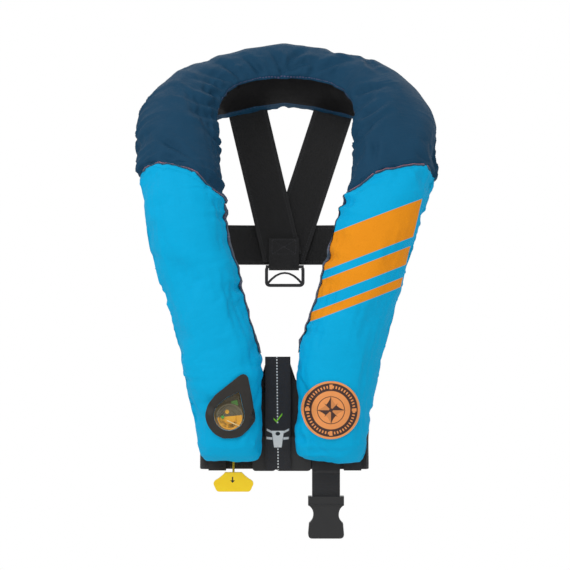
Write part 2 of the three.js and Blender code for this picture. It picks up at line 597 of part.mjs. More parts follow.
// Round the side, from the front to the lap joint on the back belt.
const sideRun = (side, frontEnd) => [
  vector(frontEnd, beltY, beltZ),
  vector(side * 40, beltY, beltZ),
  vector(side * 89, beltY, beltZ),
  vector(side * 92, beltY + 2, beltZ),
  vector(side * 93.5, beltY + 8, beltZ + 0.5),
  vector(side * 94, beltY + 22, beltZ + 6),
  vector(side * 95, beltY + 48, beltZ + 34),
  vector(side * 98, beltY + 84, beltZ + 92),
  vector(side * 100, beltY + 126, beltZ + 158),
  vector(side * 100, beltY + 158, beltZ + 202),
  vector(side * 97, beltY + 182, beltZ + 228),
  vector(side * 91, backBeltY - 20, backBeltZ - 5),
  vector(side * (backBeltHalf + 4), backBeltY - 12, backBeltZ - 1.5),
  backBeltAt(side * backBeltHalf).add(vector(side * 1.5, webbing + gap, 0)),
  backBeltAt(side * (backBeltHalf - lap / 2)).add(vector(side * 1, webbing + gap + 0.15, 0)),
  backBeltAt(side * (backBeltHalf - lap)).add(vector(side * 0.6, webbing + gap, 0)),
];
const socketEnd = buckleX + socketLength;
const plugEnd = buckleX - gap - plugLength;
const rightBeltEnd = keeperX.right + keeperWidth / 2 - 1;
add("right_waist_belt", ribbon(sideRun(-1, rightBeltEnd).filter((p) => p.x <= rightBeltEnd || p.y > 0),
  lapZ, beltWidth, webbing), materials.webbing);
add("left_waist_belt", ribbon(sideRun(1, socketEnd - beltGrip + gap), lapZ, beltWidth, webbing), materials.webbing);
const tailEnd = rightBeltEnd - 0.2;
add("right_belt_tail", ribbon([vector(plugEnd + beltGrip - gap, tailY, beltZ), vector(tailEnd, tailY, beltZ)],
  lapZ, beltWidth, webbing), materials.webbing);

// A sleeve round the belt: an upright ring drawn in Y and Z.
function sleeve(y0, y1, z0, z1, wall, x0, x1) {
  const ringOf = (grow, Kind) => roundedRect(y1 - y0 + 2 * grow, z1 - z0 + 2 * grow, 0.4, (y0 + y1) / 2, (z0 + z1) / 2, Kind);
  const outline = ringOf(wall, THREE.Shape);
  outline.holes.push(ringOf(0, THREE.Path));
  return rail(outline, x0, x1, 2);
}
const keeper = (x) => sleeve(beltY - webbing / 2 - gap, tailY + webbing / 2 + gap,
  beltZ - beltWidth / 2 - gap, beltZ + beltWidth / 2 + gap, keeperWall, x - keeperWidth / 2, x + keeperWidth / 2);
add("right_belt_keeper", keeper(keeperX.right), materials.webbing);
add("left_belt_keeper", keeper(keeperX.left), materials.webbing);
add("front_panel", box(panel.width, panel.thick, panel.top - panel.bottom,
  panel.x, backPlane + panel.thick / 2, (panel.top + panel.bottom) / 2), materials.lining);

// ---- front buckle ----------------------------------------------------------------------------
const buckleY = backPlane + buckleDepth / 2;
const tongueY = buckleY;
const buckleBlock = (x0, x1) => plate(roundedRect(x1 - x0, buckleHeight, 4, (x0 + x1) / 2, beltZ),
  buckleY - buckleDepth / 2, buckleY + buckleDepth / 2);
const beltSlot = (x0, x1, y) => box(x1 - x0, webbing + 2 * gap, beltWidth + 2 * gap, (x0 + x1) / 2, y, beltZ);
const tongueRoom = box(tongue.length + 1.5, tongue.depth + 2 * gap, tongue.height + 2 * gap,
  buckleX + (tongue.length + 1.5) / 2 - 0.5, tongueY, beltZ);
add("buckle_socket", cut(buckleBlock(buckleX, socketEnd), tongueRoom,
  beltSlot(socketEnd - beltGrip, socketEnd + 1, beltY)), materials.blackPlastic);
const plugBlock = join(buckleBlock(plugEnd, buckleX - gap),
  box(tongue.length + 3, tongue.depth, tongue.height, buckleX - gap + (tongue.length - 3) / 2, tongueY, beltZ));
add("buckle_plug", cut(plugBlock, beltSlot(plugEnd - 1, plugEnd + beltGrip, tailY)), materials.blackPlastic);
add("buckle_flap", plate(roundedRect(flap.width, flap.top - flap.bottom, 3, flap.x, (flap.top + flap.bottom) / 2),
  backPlane - gap - flap.depth, backPlane - gap), materials.webbing);

// ---- yoke, ring loop and ring ----------------------------------------------------------------
// Stacked from the wearer outwards: loop, right strap, left strap, loop again, back belt.
const loopBackY = backBeltY - webbing - gap;
const leftStrapY = loopBackY - webbing - gap;
const rightStrapY = leftStrapY - webbing - 2 * gap;
const loopFrontY = rightStrapY - webbing - gap;
const ringY = (leftStrapY + rightStrapY) / 2;
const strapFoot = ring.z + ring.bar / 2 + 9;
const collarBody = horseshoeSolid(-2 * gap, 8, lastStation - 8, 36);
const yokeStrap = (top, footX, footY) => {
  const a = vector(...top);
  const b = vector(footX, footY, strapFoot);
  const bend = a.clone().lerp(b, 0.55).setY(footY);
  return cut(ribbon([a, bend, b], vector(1, 0, 0), yokeWidth, webbing), collarBody);
};
add("right_yoke_strap", yokeStrap(yokeTop.right, yokeFootX.right, rightStrapY), materials.webbing);
add("left_yoke_strap", yokeStrap(yokeTop.left, yokeFootX.left, leftStrapY), materials.webbing);

// A U of webbing drawn in Y and Z, folded under the ring's top bar.
const loopShape = new THREE.Shape();
const loopOut = (loopBackY - loopFrontY + webbing) / 2;
const loopIn = loopOut - webbing;
const loopTop = ring.z + ringLoop.height;
loopShape.moveTo(ringY - loopOut, loopTop);
loopShape.lineTo(ringY - loopOut, ring.z);
loopShape.absarc(ringY, ring.z, loopOut, Math.PI, 2 * Math.PI, false);
loopShape.lineTo(ringY + loopOut, loopTop);
loopShape.lineTo(ringY + loopIn, loopTop);
loopShape.lineTo(ringY + loopIn, ring.z);
loopShape.absarc(ringY, ring.z, loopIn, 2 * Math.PI, Math.PI, true);
loopShape.lineTo(ringY - loopIn, loopTop);
add("ring_loop", rail(loopShape, ringLoop.x - ringLoop.width / 2, ringLoop.x + ringLoop.width / 2, 8), materials.webbing);

const ringTop = ring.z + ring.bar / 2;
const ringMiddle = ringTop - ring.height / 2;
const ringOutline = roundedRect(ring.width, ring.height, 6, ring.x, ringMiddle);
ringOutline.holes.push(roundedRect(ring.width - 2 * ring.bar, ring.height - 2 * ring.bar, 3, ring.x, ringMiddle, THREE.Path));
const archOuter = new THREE.Shape();
const archHalf = ring.width / 2 - 1;
const archFoot = ringTop - ring.height + 4;
const archRise = 15;
archOuter.moveTo(ring.x - archHalf, archFoot);
archOuter.quadraticCurveTo(ring.x, archFoot + 2 * archRise, ring.x + archHalf, archFoot);
archOuter.lineTo(ring.x + archHalf - 4, archFoot);
archOuter.quadraticCurveTo(ring.x, archFoot + 2 * archRise - 5, ring.x - archHalf + 4, archFoot);
const ringPlate = (shape, thick) => plate(shape, ringY - thick / 2, ringY + thick / 2, 8);
const ringSides = cut(ringPlate(ringOutline, ring.bar),
  box(ring.width - 2 * ring.bar, ring.bar + 2, ring.bar + 2, ring.x, ringY, ring.z));
const ringBar = new THREE.CylinderGeometry(ring.bar / 2, ring.bar / 2, ring.width - 2, 16)
  .rotateZ(Math.PI / 2).translate(ring.x, ringY, ring.z);
add("back_ring", join(ringSides, ringBar, ringPlate(archOuter, ring.bar - 1)), materials.ringSteel);

// ---- crotch strap ----------------------------------------------------------------------------
const crotchX0 = crotch.x - crotch.width / 2;
const crotchX1 = crotch.x + crotch.width / 2;
const beltFoot = beltZ - beltWidth / 2;
const crotchLoop = sleeve(beltY - webbing / 2 - gap, beltY + webbing / 2 + gap,
  beltFoot - gap, beltZ + beltWidth / 2 + gap, crotch.ply, crotchX0, crotchX1);
add("crotch_loop", join(crotchLoop, box(crotch.width, 2 * crotch.ply, beltFoot - gap - crotch.top,
  crotch.x, beltY, (beltFoot - gap + crotch.top) / 2)), materials.webbing);

// The hanging strap: two plies side by side, opened at the foot round the socket's bar.
const barZ = crotchSocket.top - crotchSocket.barDrop;
const barRoom = crotch.bar / 2 + gap;
const strapShape = new THREE.Shape();
const strapHinge = crotch.top - gap - crotch.ply; // the strap swings about its rounded top
strapShape.moveTo(beltY - crotch.ply, strapHinge);
strapShape.lineTo(beltY - crotch.ply, barZ + 10);
strapShape.lineTo(beltY - barRoom - crotch.ply, barZ + 1);
strapShape.absarc(beltY, barZ, barRoom + crotch.ply, Math.PI, 2 * Math.PI, false);
strapShape.lineTo(beltY + barRoom + crotch.ply, barZ + 1);
strapShape.lineTo(beltY + crotch.ply, barZ + 10);
strapShape.lineTo(beltY + crotch.ply, strapHinge);
strapShape.absarc(beltY, strapHinge, crotch.ply, 0, Math.PI, false);
const barHole = new THREE.Path();
barHole.moveTo(beltY - barRoom, barZ + 1);
barHole.lineTo(beltY, barZ + 6);
barHole.lineTo(beltY + barRoom, barZ + 1);
barHole.absarc(beltY, barZ, barRoom, 2 * Math.PI, Math.PI, true);
strapShape.holes.push(barHole);
add("crotch_strap", rail(strapShape, crotchX0, crotchX1, 6), materials.webbing);

// Socket of the crotch buckle, waisted, with its mouth at the foot.
const socket = { ...crotchSocket, foot: crotchSocket.top - crotchSocket.length };
const socketShape = new THREE.Shape();
const socketHalf = socket.width / 2;
const waistHalf = socket.waist / 2;
socketShape.moveTo(crotch.x - socketHalf, socket.top);
socketShape.lineTo(crotch.x - socketHalf, socket.top - 10);
socketShape.quadraticCurveTo(crotch.x - waistHalf, socket.top - 13, crotch.x - waistHalf, socket.top - 21);
socketShape.quadraticCurveTo(crotch.x - waistHalf, socket.top - 27, crotch.x - socketHalf + 1, socket.top - 31);
socketShape.lineTo(crotch.x - socketHalf, socket.foot + 5);
socketShape.quadraticCurveTo(crotch.x - socketHalf, socket.foot, crotch.x - socketHalf + 5, socket.foot);
socketShape.lineTo(crotch.x + socketHalf - 5, socket.foot);
socketShape.quadraticCurveTo(crotch.x + socketHalf, socket.foot, crotch.x + socketHalf, socket.foot + 5);
socketShape.lineTo(crotch.x + socketHalf - 1, socket.top - 31);
socketShape.quadraticCurveTo(crotch.x + waistHalf, socket.top - 27, crotch.x + waistHalf, socket.top - 21);
socketShape.quadraticCurveTo(crotch.x + waistHalf, socket.top - 13, crotch.x + socketHalf, socket.top - 10);
socketShape.lineTo(crotch.x + socketHalf, socket.top);
const socketY0 = beltY - socket.depth / 2;
const socketY1 = beltY + socket.depth / 2;
const socketWall = 2.2;
const strapRoomDepth = 2 * (barRoom + crotch.ply) + 2;
const strapRoom = box(crotch.width + 2 * gap, socketY1 + 1 - (beltY - strapRoomDepth / 2), 14,
  crotch.x, (socketY1 + 1 + beltY - strapRoomDepth / 2) / 2, socket.top - 6);
const mouthChannel = box(socket.waist - 8, socket.depth - 2 * socketWall, socket.length - 17,
  crotch.x, beltY, socket.foot + (socket.length - 17) / 2 - 1);
const mouthFlare = box(socket.width - 8, socket.depth - 2 * socketWall, 12, crotch.x, beltY, socket.foot + 5);
const socketBar = new THREE.CylinderGeometry(crotch.bar / 2, crotch.bar / 2, crotch.width + 4, 14)
  .rotateZ(Math.PI / 2).translate(crotch.x, beltY, barZ);
add("crotch_socket", join(cut(plate(socketShape, socketY0, socketY1), strapRoom, mouthChannel, mouthFlare), socketBar),
  materials.blackPlastic);

export default jacket;
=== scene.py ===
import math

import bpy
import numpy as np
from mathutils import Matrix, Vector, noise
from mathutils.bvhtree import BVHTree


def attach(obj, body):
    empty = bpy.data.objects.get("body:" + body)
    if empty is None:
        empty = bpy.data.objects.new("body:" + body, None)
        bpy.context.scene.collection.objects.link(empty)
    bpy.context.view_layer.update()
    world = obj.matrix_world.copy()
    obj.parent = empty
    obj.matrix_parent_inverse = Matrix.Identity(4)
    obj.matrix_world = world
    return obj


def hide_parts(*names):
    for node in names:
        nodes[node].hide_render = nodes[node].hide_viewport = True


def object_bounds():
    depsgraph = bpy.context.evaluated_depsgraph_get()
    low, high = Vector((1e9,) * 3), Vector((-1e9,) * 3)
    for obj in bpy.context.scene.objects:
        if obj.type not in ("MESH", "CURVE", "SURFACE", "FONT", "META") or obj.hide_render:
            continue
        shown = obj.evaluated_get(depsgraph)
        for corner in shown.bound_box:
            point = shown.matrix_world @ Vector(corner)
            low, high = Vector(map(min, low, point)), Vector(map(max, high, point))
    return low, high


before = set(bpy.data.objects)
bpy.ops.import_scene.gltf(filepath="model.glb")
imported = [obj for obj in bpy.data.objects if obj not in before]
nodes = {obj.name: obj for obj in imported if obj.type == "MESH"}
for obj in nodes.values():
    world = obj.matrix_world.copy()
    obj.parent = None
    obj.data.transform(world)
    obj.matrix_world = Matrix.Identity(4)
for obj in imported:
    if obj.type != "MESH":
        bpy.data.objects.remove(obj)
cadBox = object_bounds()
mm = 0.001
hair = 0.00002  # points closer than this are one point


def clearSelection():  # an operator acts on all that is selected
    if bpy.context.mode != "OBJECT":
        bpy.ops.object.mode_set(mode="OBJECT")
    bpy.ops.object.select_all(action="DESELECT")


def pick(*objs):  # selects these objects only, the first one active
    clearSelection()
    for obj in objs:
        obj.select_set(True)
    bpy.context.view_layer.objects.active = objs[0]
    return objs[0]


def named(name):  # the new primitive, named, with its place put into its mesh
    obj = pick(bpy.context.active_object)
    obj.name = obj.data.name = name
    bpy.ops.object.transform_apply(location=True, rotation=True, scale=True)
    return obj


def modified(obj, kind, **settings):  # adds a modifier and applies it
    pick(obj)
    modifier = obj.modifiers.new(kind.lower(), kind)
    for key, value in settings.items():
        setattr(modifier, key, value)
    bpy.ops.object.modifier_apply(modifier=modifier.name)
    return obj


def copyOf(node, name):  # a copy of a CAD node's mesh, with its doubles merged
    obj = bpy.data.objects.new(name, nodes[node].data.copy())
    bpy.context.scene.collection.objects.link(obj)
    obj.data.materials.clear()
    pick(obj)
    bpy.ops.object.mode_set(mode="EDIT")
    bpy.ops.mesh.select_all(action="SELECT")
    bpy.ops.mesh.remove_doubles(threshold=hair)
    bpy.ops.object.mode_set(mode="OBJECT")
    return obj


def joined(objs, name):
    obj = pick(*objs)
    bpy.ops.object.join()
    obj.name = obj.data.name = name
    return obj


def coordinates(obj):
    flat = np.empty(len(obj.data.vertices) * 3)
    obj.data.vertices.foreach_get("co", flat)
    return flat.reshape(-1, 3)


def setCoordinates(obj, points):
    obj.data.vertices.foreach_set("co", np.asarray(points).ravel())
    obj.data.update()


def setAttribute(obj, name, values):  # one number, or one vector, at each vertex
    values = np.asarray(values, dtype=float)
    kind, field = ("FLOAT", "value") if values.ndim == 1 else ("FLOAT_VECTOR", "vector")
    attribute = obj.data.attributes.new(name, kind, "POINT")
    attribute.data.foreach_set(field, values.ravel())


def selectFaces(obj, keep):  # ends in edit mode, with the faces that keep(centre, normal) is true for
    pick(obj)
    bpy.ops.object.mode_set(mode="EDIT")
    bpy.ops.mesh.select_mode(type="FACE")
    bpy.ops.mesh.select_all(action="DESELECT")
    bpy.ops.object.mode_set(mode="OBJECT")
    for face in obj.data.polygons:
        face.select = bool(keep(face.center, face.normal))
    bpy.ops.object.mode_set(mode="EDIT")


def smoothed(obj, angle=35):
    pick(obj)
    bpy.ops.object.shade_smooth_by_angle(angle=math.radians(angle))
    return obj


def finished(obj, material, body, slot, *replaced):
    if material is not None:
        obj.data.materials.clear()
        obj.data.materials.append(material)
    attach(obj, body)
    if replaced:
        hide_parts(*replaced)
    return obj


def surfaceOf(*names):  # for nearest points on CAD nodes
    corners, faces = [], []
    for name in names:
        mesh = nodes[name].data
        start = len(corners)
        corners += [vertex.co.copy() for vertex in mesh.vertices]
        faces += [[start + i for i in face.vertices] for face in mesh.polygons]
    return BVHTree.FromPolygons(corners, faces)


studio = {  # metres, degrees and watts
    "camera": (0.0006, -2.182, -0.257),
    "fieldOfView": 18.14,
    "middle": (0, -0.05, -0.26),  # where the lights point
    "floorBelow": 1.3,  # the jacket hangs at a wearer's neck height
    "floorRadius": 6,
    "world": 0.6,  # soft light from all round
    "backdrop": 1.0,  # how bright the room itself looks
    "key": {"at": (-1.3, -2.0, 1.3), "size": 1.8, "power": 29},
    "fill": {"at": (1.6, -1.9, 0.1), "size": 2.2, "power": 3},
    "back": {"at": (0.2, 1.8, 1.0), "size": 2.0, "power": 10},
}


def setUpStudio():
    scene = bpy.context.scene
    bpy.ops.object.camera_add(location=studio["camera"], rotation=(math.radians(90), 0, 0))
    camera = bpy.context.active_object
    camera.data.sensor_fit = "HORIZONTAL"
    camera.data.angle = math.radians(studio["fieldOfView"])
    camera.data.clip_end = 50
    scene.camera = camera
    scene.view_settings.view_transform = "Standard"
    scene.world = bpy.data.worlds.new("studioWorld")
    scene.world.use_nodes = True
    tree = scene.world.node_tree
    glow, backdrop = tree.nodes["Background"], tree.nodes.new("ShaderNodeBackground")
    for light, strength in ((glow, studio["world"]), (backdrop, studio["backdrop"])):
        light.inputs["Color"].default_value = (1, 1, 1, 1)
        light.inputs["Strength"].default_value = strength
    path, choice = tree.nodes.new("ShaderNodeLightPath"), tree.nodes.new("ShaderNodeMixShader")
    tree.links.new(path.outputs["Is Camera Ray"], choice.inputs[0])
    tree.links.new(glow.outputs[0], choice.inputs[1])
    tree.links.new(backdrop.outputs[0], choice.inputs[2])
    tree.links.new(choice.outputs[0], tree.nodes["World Output"].inputs[0])
    middle = Vector(studio["middle"])
    for name in ("key", "fill", "back"):
        spec = studio[name]
        bpy.ops.object.light_add(type="AREA", location=spec["at"])
        light = bpy.context.active_object
        light.name = name + "Light"
        light.data.size = spec["size"]
        light.data.energy = spec["power"]
        light.rotation_euler = (middle - light.location).to_track_quat("-Z", "Y").to_euler()
    bpy.ops.mesh.primitive_circle_add(vertices=128, radius=studio["floorRadius"], fill_type="NGON",
                                      location=(0, 0, cadBox[0][2] - studio["floorBelow"]))
    floor = named("floor")
    paint = Finish("floorPaint", "#ffffff", 0.8)
    grain = paint.noise(paint.place, 3)
    paint.set("Base Color", paint.mix(grain, hexColor("#f6f6f4"), hexColor("#ffffff")))
    floor.data.materials.append(paint.material)
    print("studio ready")


def hexColor(text):  # a colour written as in a paint program, made linear
    parts = [int(text[i:i + 2], 16) / 255 for i in (1, 3, 5)]
    return tuple(p / 12.92 if p <= 0.04045 else ((p + 0.055) / 1.055) ** 2.4 for p in parts) + (1.0,)


class Value:  # a node's output that Python's operators work on
    def __init__(self, finish, socket):
        self.finish = finish
        self.socket = socket

    def math(self, operation, *others):
        inputs = dict(enumerate((self, *others)))
        return self.finish.node("ShaderNodeMath", {"operation": operation}, inputs)

    def __add__(self, other):
        return self.math("ADD", other)

    __radd__ = __add__

    def __mul__(self, other):
        return self.math("MULTIPLY", other)

    __rmul__ = __mul__

    def __sub__(self, other):
        return self.math("SUBTRACT", other)

    def __rsub__(self, other):
        return self.finish.node("ShaderNodeMath", {"operation": "SUBTRACT"}, {0: other, 1: self})

    def sin(self):
        return self.math("SINE")

    def abs(self):
        return self.math("ABSOLUTE")

    def most(self, other):
        return self.math("MAXIMUM", other)

    def above(self, edge, soft=0.0003):  # 1 where the value is above the edge, with a soft step
        settings = {"interpolation_type": "SMOOTHSTEP"}
        return self.finish.node("ShaderNodeMapRange", settings, {0: self, 1: edge - soft, 2: edge + soft})

    def below(self, edge, soft=0.0003):
        return 1 - self.above(edge, soft)

    def between(self, low, high, soft=0.0003):
        return self.above(low, soft) * self.below(high, soft)

    def repeat(self, length):  # distance to the nearest multiple of a length
        return self.math("PINGPONG", length / 2)


class Finish:  # a material under construction
    def __init__(self, name, color, roughness, **more):
        self.material = bpy.data.materials.new(name)
        self.material.use_nodes = True
        self.tree = self.material.node_tree
        self.shader = self.tree.nodes["Principled BSDF"]
        self.set("Base Color", hexColor(color))
        self.set("Roughness", roughness)
        for key, value in more.items():
            self.set(key.replace("_", " ").title().replace("Ior", "IOR"), value)
        self.placeNode = None

    def put(self, socket, value):
        if isinstance(value, Value):
            self.tree.links.new(value.socket, socket)
        else:
            socket.default_value = value

    def set(self, name, value):
        self.put(self.shader.inputs[name], value)

    def node(self, kind, settings=None, inputs=None, output=0):
        made = self.tree.nodes.new(kind)
        for key, value in (settings or {}).items():
            setattr(made, key, value)
        for key, value in (inputs or {}).items():
            self.put(made.inputs[key], value)
        return Value(self, made.outputs[output])

    @property
    def place(self):
        if self.placeNode is None:
            self.placeNode = self.tree.nodes.new("ShaderNodeTexCoord")
        return Value(self, self.placeNode.outputs["Object"])

    def split(self, vector):
        made = self.tree.nodes.new("ShaderNodeSeparateXYZ")
        self.put(made.inputs[0], vector)
        return [Value(self, output) for output in made.outputs]

    def combine(self, x, y, z=0.0):
        return self.node("ShaderNodeCombineXYZ", None, {0: x, 1: y, 2: z})

    def attribute(self, name, output="Fac"):
        return self.node("ShaderNodeAttribute", {"attribute_name": name}, None, output)

    def noise(self, vector, scale, detail=3, roughness=0.55):
        return self.node("ShaderNodeTexNoise", None,
                         {"Vector": vector, "Scale": scale, "Detail": detail, "Roughness": roughness})

    def mix(self, factor, first, second):
        made = self.tree.nodes.new("ShaderNodeMix")
        made.data_type = "RGBA"
        self.put(made.inputs[0], factor)
        self.put(made.inputs[6], first)
        self.put(made.inputs[7], second)
        return Value(self, made.outputs[2])

    def bump(self, height, distance, strength=1.0):
        self.set("Normal", self.node("ShaderNodeBump", None,
                                     {"Height": height, "Distance": distance, "Strength": strength}))


def shaded(color, factor):  # a colour made lighter or darker
    return tuple(min(1, part * factor) for part in color[:3]) + (1.0,)


def mottled(paint, color, vector, scale, spread=0.12):  # gentle variation of one colour
    grain = paint.noise(vector, scale)
    return paint.mix(grain, shaded(color, 1 - spread), shaded(color, 1 + spread))


lanyard = {  # millimetres, from the firing lever down to the pull tab
    "route": [(-56.1, -158.35, -435.0), (-56.3, -158.2, -438.2), (-58, -152.5, -443), (-58, -150.5, -459),
              (-58, -150.5, -477.7)],
    "diameter": 2.4,
    "spacing": 1.5,
}


def curvePoints(points, steps):  # points along a smooth curve through all of them
    knots = [points[0] * 2 - points[1], *points, points[-1] * 2 - points[-2]]
    made = []
    for i in range(1, len(knots) - 2):
        a, b, c, d = knots[i - 1:i + 3]
        for k in range(steps):
            t = k / steps
            made.append(0.5 * (2 * b + (c - a) * t + (2 * a - 5 * b + 4 * c - d) * t * t
                               + (3 * b - a - 3 * c + d) * t ** 3))
    return made + [points[-1]]


def evenPoints(points, spacing):  # the same line in even steps
    lengths = [0.0]
    for a, b in zip(points, points[1:]):
        lengths.append(lengths[-1] + (b - a).length)
    count = max(2, round(lengths[-1] / spacing))
    flat = np.array([tuple(p) for p in points])
    marks = np.linspace(0, lengths[-1], count + 1)
    return [Vector(row) for row in np.stack([np.interp(marks, lengths, flat[:, k]) for k in range(3)], 1)]


def tubeAlong(points, radius, name, sides=8):  # a closed tube, made from a curve with round depth
    curve = bpy.data.curves.new(name, "CURVE")
    curve.dimensions = "3D"
    curve.bevel_depth = radius
    curve.bevel_resolution = sides // 4
    curve.use_fill_caps = True
    spline = curve.splines.new("POLY")
    spline.points.add(len(points) - 1)
    for knot, point in zip(spline.points, points):
        knot.co = (*point, 1)
    obj = bpy.data.objects.new(name, curve)
    bpy.context.scene.collection.objects.link(obj)
    pick(obj)
    bpy.ops.object.convert(target="MESH")
    bpy.ops.object.mode_set(mode="EDIT")
    bpy.ops.mesh.select_all(action="SELECT")
    bpy.ops.mesh.remove_doubles(threshold=0.00001)
    bpy.ops.mesh.normals_make_consistent(inside=False)
    bpy.ops.object.mode_set(mode="OBJECT")
    bpy.ops.object.shade_smooth()
    return bpy.context.active_object


def makeLanyard():
    route = [Vector(p) * mm for p in lanyard["route"]]
    line = evenPoints(curvePoints(route, 8), lanyard["spacing"] * mm)
    cord = tubeAlong(line, lanyard["diameter"] / 2 * mm, "pullLanyard", 12)
    paint = Finish("lanyardCord", "#e8bf16", 0.75)
    x, _, z = paint.split(paint.place)
    braid = ((z + x * 0.8) * 5200).sin() * ((z - x * 0.8) * 5200).sin()
    paint.set("Base Color", paint.mix(braid.above(0, 0.5), hexColor("#b8930c"), hexColor("#f4cf25")))
    paint.bump(braid, 0.0003)
    finished(cord, paint.material, "pull", "yellow_plastic", "pull_lanyard")


horseshoe = {  # millimetres: the collar, both lobes and their lining as one padded form
    # middle of the cover's cross-section, right hem to left hem, and half its width there
    "line": [(-60, -148, -457, 31), (-61, -148, -437, 36), (-66, -148, -390, 40), (-73.5, -148, -343, 46),
             (-83.5, -148, -297, 43), (-97, -148, -251, 44), (-110, -148, -206, 46), (-115, -142, -162, 46),
             (-121.5, -120, -130, 48), (-124, -85, -95, 49), (-121, -44, -65, 49), (-97, -1, -41, 46),
             (-57, 28, -25, 43), (0, 37, -16, 40), (58, 28, -25, 43), (100, -1, -41, 46), (125, -44, -65, 49),
             (128.5, -85, -95, 49), (124.5, -120, -130, 48), (116, -142, -162, 46), (101, -148, -206, 46),
             (89, -148, -251, 46), (75.5, -148, -297, 46), (62.5, -148, -343, 48), (58, -148, -390, 42),
             (53.5, -148, -437, 40), (53, -148, -457, 32)],
    "cell": 4.5,  # voxel size
    "growth": 0.035,
    "pressure": 4.0,
    "reach": 7.0,  # how far the cloth may move
    "gather": 4.2,  # height of the gathers at the neck edge
    "gatherPitch": 15,
    "dent": 1.9,  # broad unevenness of the stuffed cover
    "pucker": 0.9,  # at the seams
    # what fills the hollows round the inflator, the oral tube and the whistle: place, size and lean
    "fillers": [
        ("cube", (-61.5, -161, -405), (42, 20, 76), -0.25),
        ("cylinder", (-61, -173, -400), (46, 46, 15), 0),
        ("cylinder", (-82, -158, -324), (27, 27, 118), -0.25),
        ("cube", (-58, -151, -446), (20, 8, 18), 0),
        ("cube", (87.5, -160, -266), (20, 24, 112), 0.25),
        ("cube", (58, -160, -372), (18, 24, 46), 0),
    ],
}
coverNodes = ["collar_cover", "right_lobe_cover", "left_lobe_cover"]
liningNodes = ["collar_lining", "right_lobe_lining", "left_lobe_lining"]


def horseshoeFrames():  # even points along the middle line, with directions to the neck edge and out
    knots = [Vector(p[:3]) * mm for p in horseshoe["line"]]
    line = evenPoints(curvePoints(knots, 8), 0.006)
    flat = np.array([tuple(p) for p in line])
    halves = np.interp(np.linspace(0, 1, len(line)), np.linspace(0, 1, len(knots)),
                       [p[3] * mm for p in horseshoe["line"]])
    along = np.gradient(flat, axis=0)
    along /= np.linalg.norm(along, axis=1)[:, None]
    lift = np.clip((flat[:, 1] + 0.148) / 0.12, 0, 1)[:, None]
    inward = np.concatenate([-flat[:, :1], (-0.075 - flat[:, 1:2]) * lift, -0.02 * lift], 1)
    inward -= along * (inward * along).sum(1)[:, None]
    inward /= np.linalg.norm(inward, axis=1)[:, None]
    outward = np.cross(inward, along)
    lengths = np.concatenate([[0], np.cumsum(np.linalg.norm(np.diff(flat, axis=0), axis=1))])
    return flat, inward, outward, lengths, halves


def horseshoePlaces(points):  # of each point: metres along the middle line, angle round it, half width
    flat, inward, outward, lengths, halves = horseshoeFrames()
    nearest = np.empty(len(points), dtype=int)
    for start in range(0, len(points), 4000):
        part = points[start:start + 4000]
        nearest[start:start + 4000] = ((part[:, None] - flat[None]) ** 2).sum(2).argmin(1)
    before, after = np.maximum(nearest - 1, 0), np.minimum(nearest + 1, len(flat) - 1)
    along = flat[after] - flat[before]
    step = (along ** 2).sum(1)
    extra = ((points - flat[nearest]) * along).sum(1) / step
    offset = points - flat[nearest]
    across = (offset * inward[nearest]).sum(1)
    out = (offset * outward[nearest]).sum(1)
    place = lengths[nearest] + extra * np.sqrt(step)
    return place, np.arctan2(out, across), halves[nearest]


def fillers():
    made = []
    for kind, at, size, lean in horseshoe["fillers"]:
        place = [c * mm for c in at]
        if kind == "cube":
            bpy.ops.mesh.primitive_cube_add(size=1, location=place, rotation=(0, lean, 0))
        else:
            turn = (math.radians(90), 0, 0) if size[2] < 20 else (0, lean, 0)
            bpy.ops.mesh.primitive_cylinder_add(radius=0.5, depth=1, vertices=24, location=place,
                                                rotation=turn)
        bpy.context.active_object.scale = [s * mm for s in size]
        made.append(named("filler"))
    return made


def puffedUp(body, softness):  # a short cloth run with air inside it; softness is 0 on the lining
    start = coordinates(body)
    pick(body)
    group = body.vertex_groups.new(name="sewnDown")
    for i, soft in enumerate(softness):
        group.add([i], float(1 - soft), "REPLACE")
    cloth = body.modifiers.new("cloth", "CLOTH")
    settings = cloth.settings
    settings.quality = 6
    settings.mass = 0.25
    settings.tension_stiffness = settings.compression_stiffness = 18
    settings.shear_stiffness = 8
    settings.bending_stiffness = 0.15
    settings.use_pressure = True
    settings.uniform_pressure_force = horseshoe["pressure"]
    settings.shrink_min = -horseshoe["growth"]
    settings.vertex_group_mass = "sewnDown"
    settings.pin_stiffness = 1.0
    settings.effector_weights.gravity = 0
    cloth.collision_settings.use_collision = False
    scene = bpy.context.scene
    scene.frame_start, scene.frame_end = 1, 20
    for step in range(1, 21):
        scene.frame_set(step)
    bpy.ops.object.modifier_apply(modifier=cloth.name)
    scene.frame_set(1)
    moved = coordinates(body) - start
    far = np.linalg.norm(moved, axis=1)
    reach = horseshoe["reach"] * mm
    scale = np.where(far > 1e-9, reach * np.tanh(far / reach) / np.maximum(far, 1e-9), 0)
    setCoordinates(body, start + moved * scale[:, None])
    print("cloth moved", round(float(far.max() * 1000), 1), "mm at most")


def nearestDistances(points, surface):
    return np.array([surface.find_nearest(Vector(p))[3] for p in points])


def normalsOf(obj):
    flat = np.empty(len(obj.data.vertices) * 3)
    obj.data.vertices.foreach_get("normal", flat)
    return flat.reshape(-1, 3)


def bell(values, width):
    return np.exp(-(values / width) ** 2)


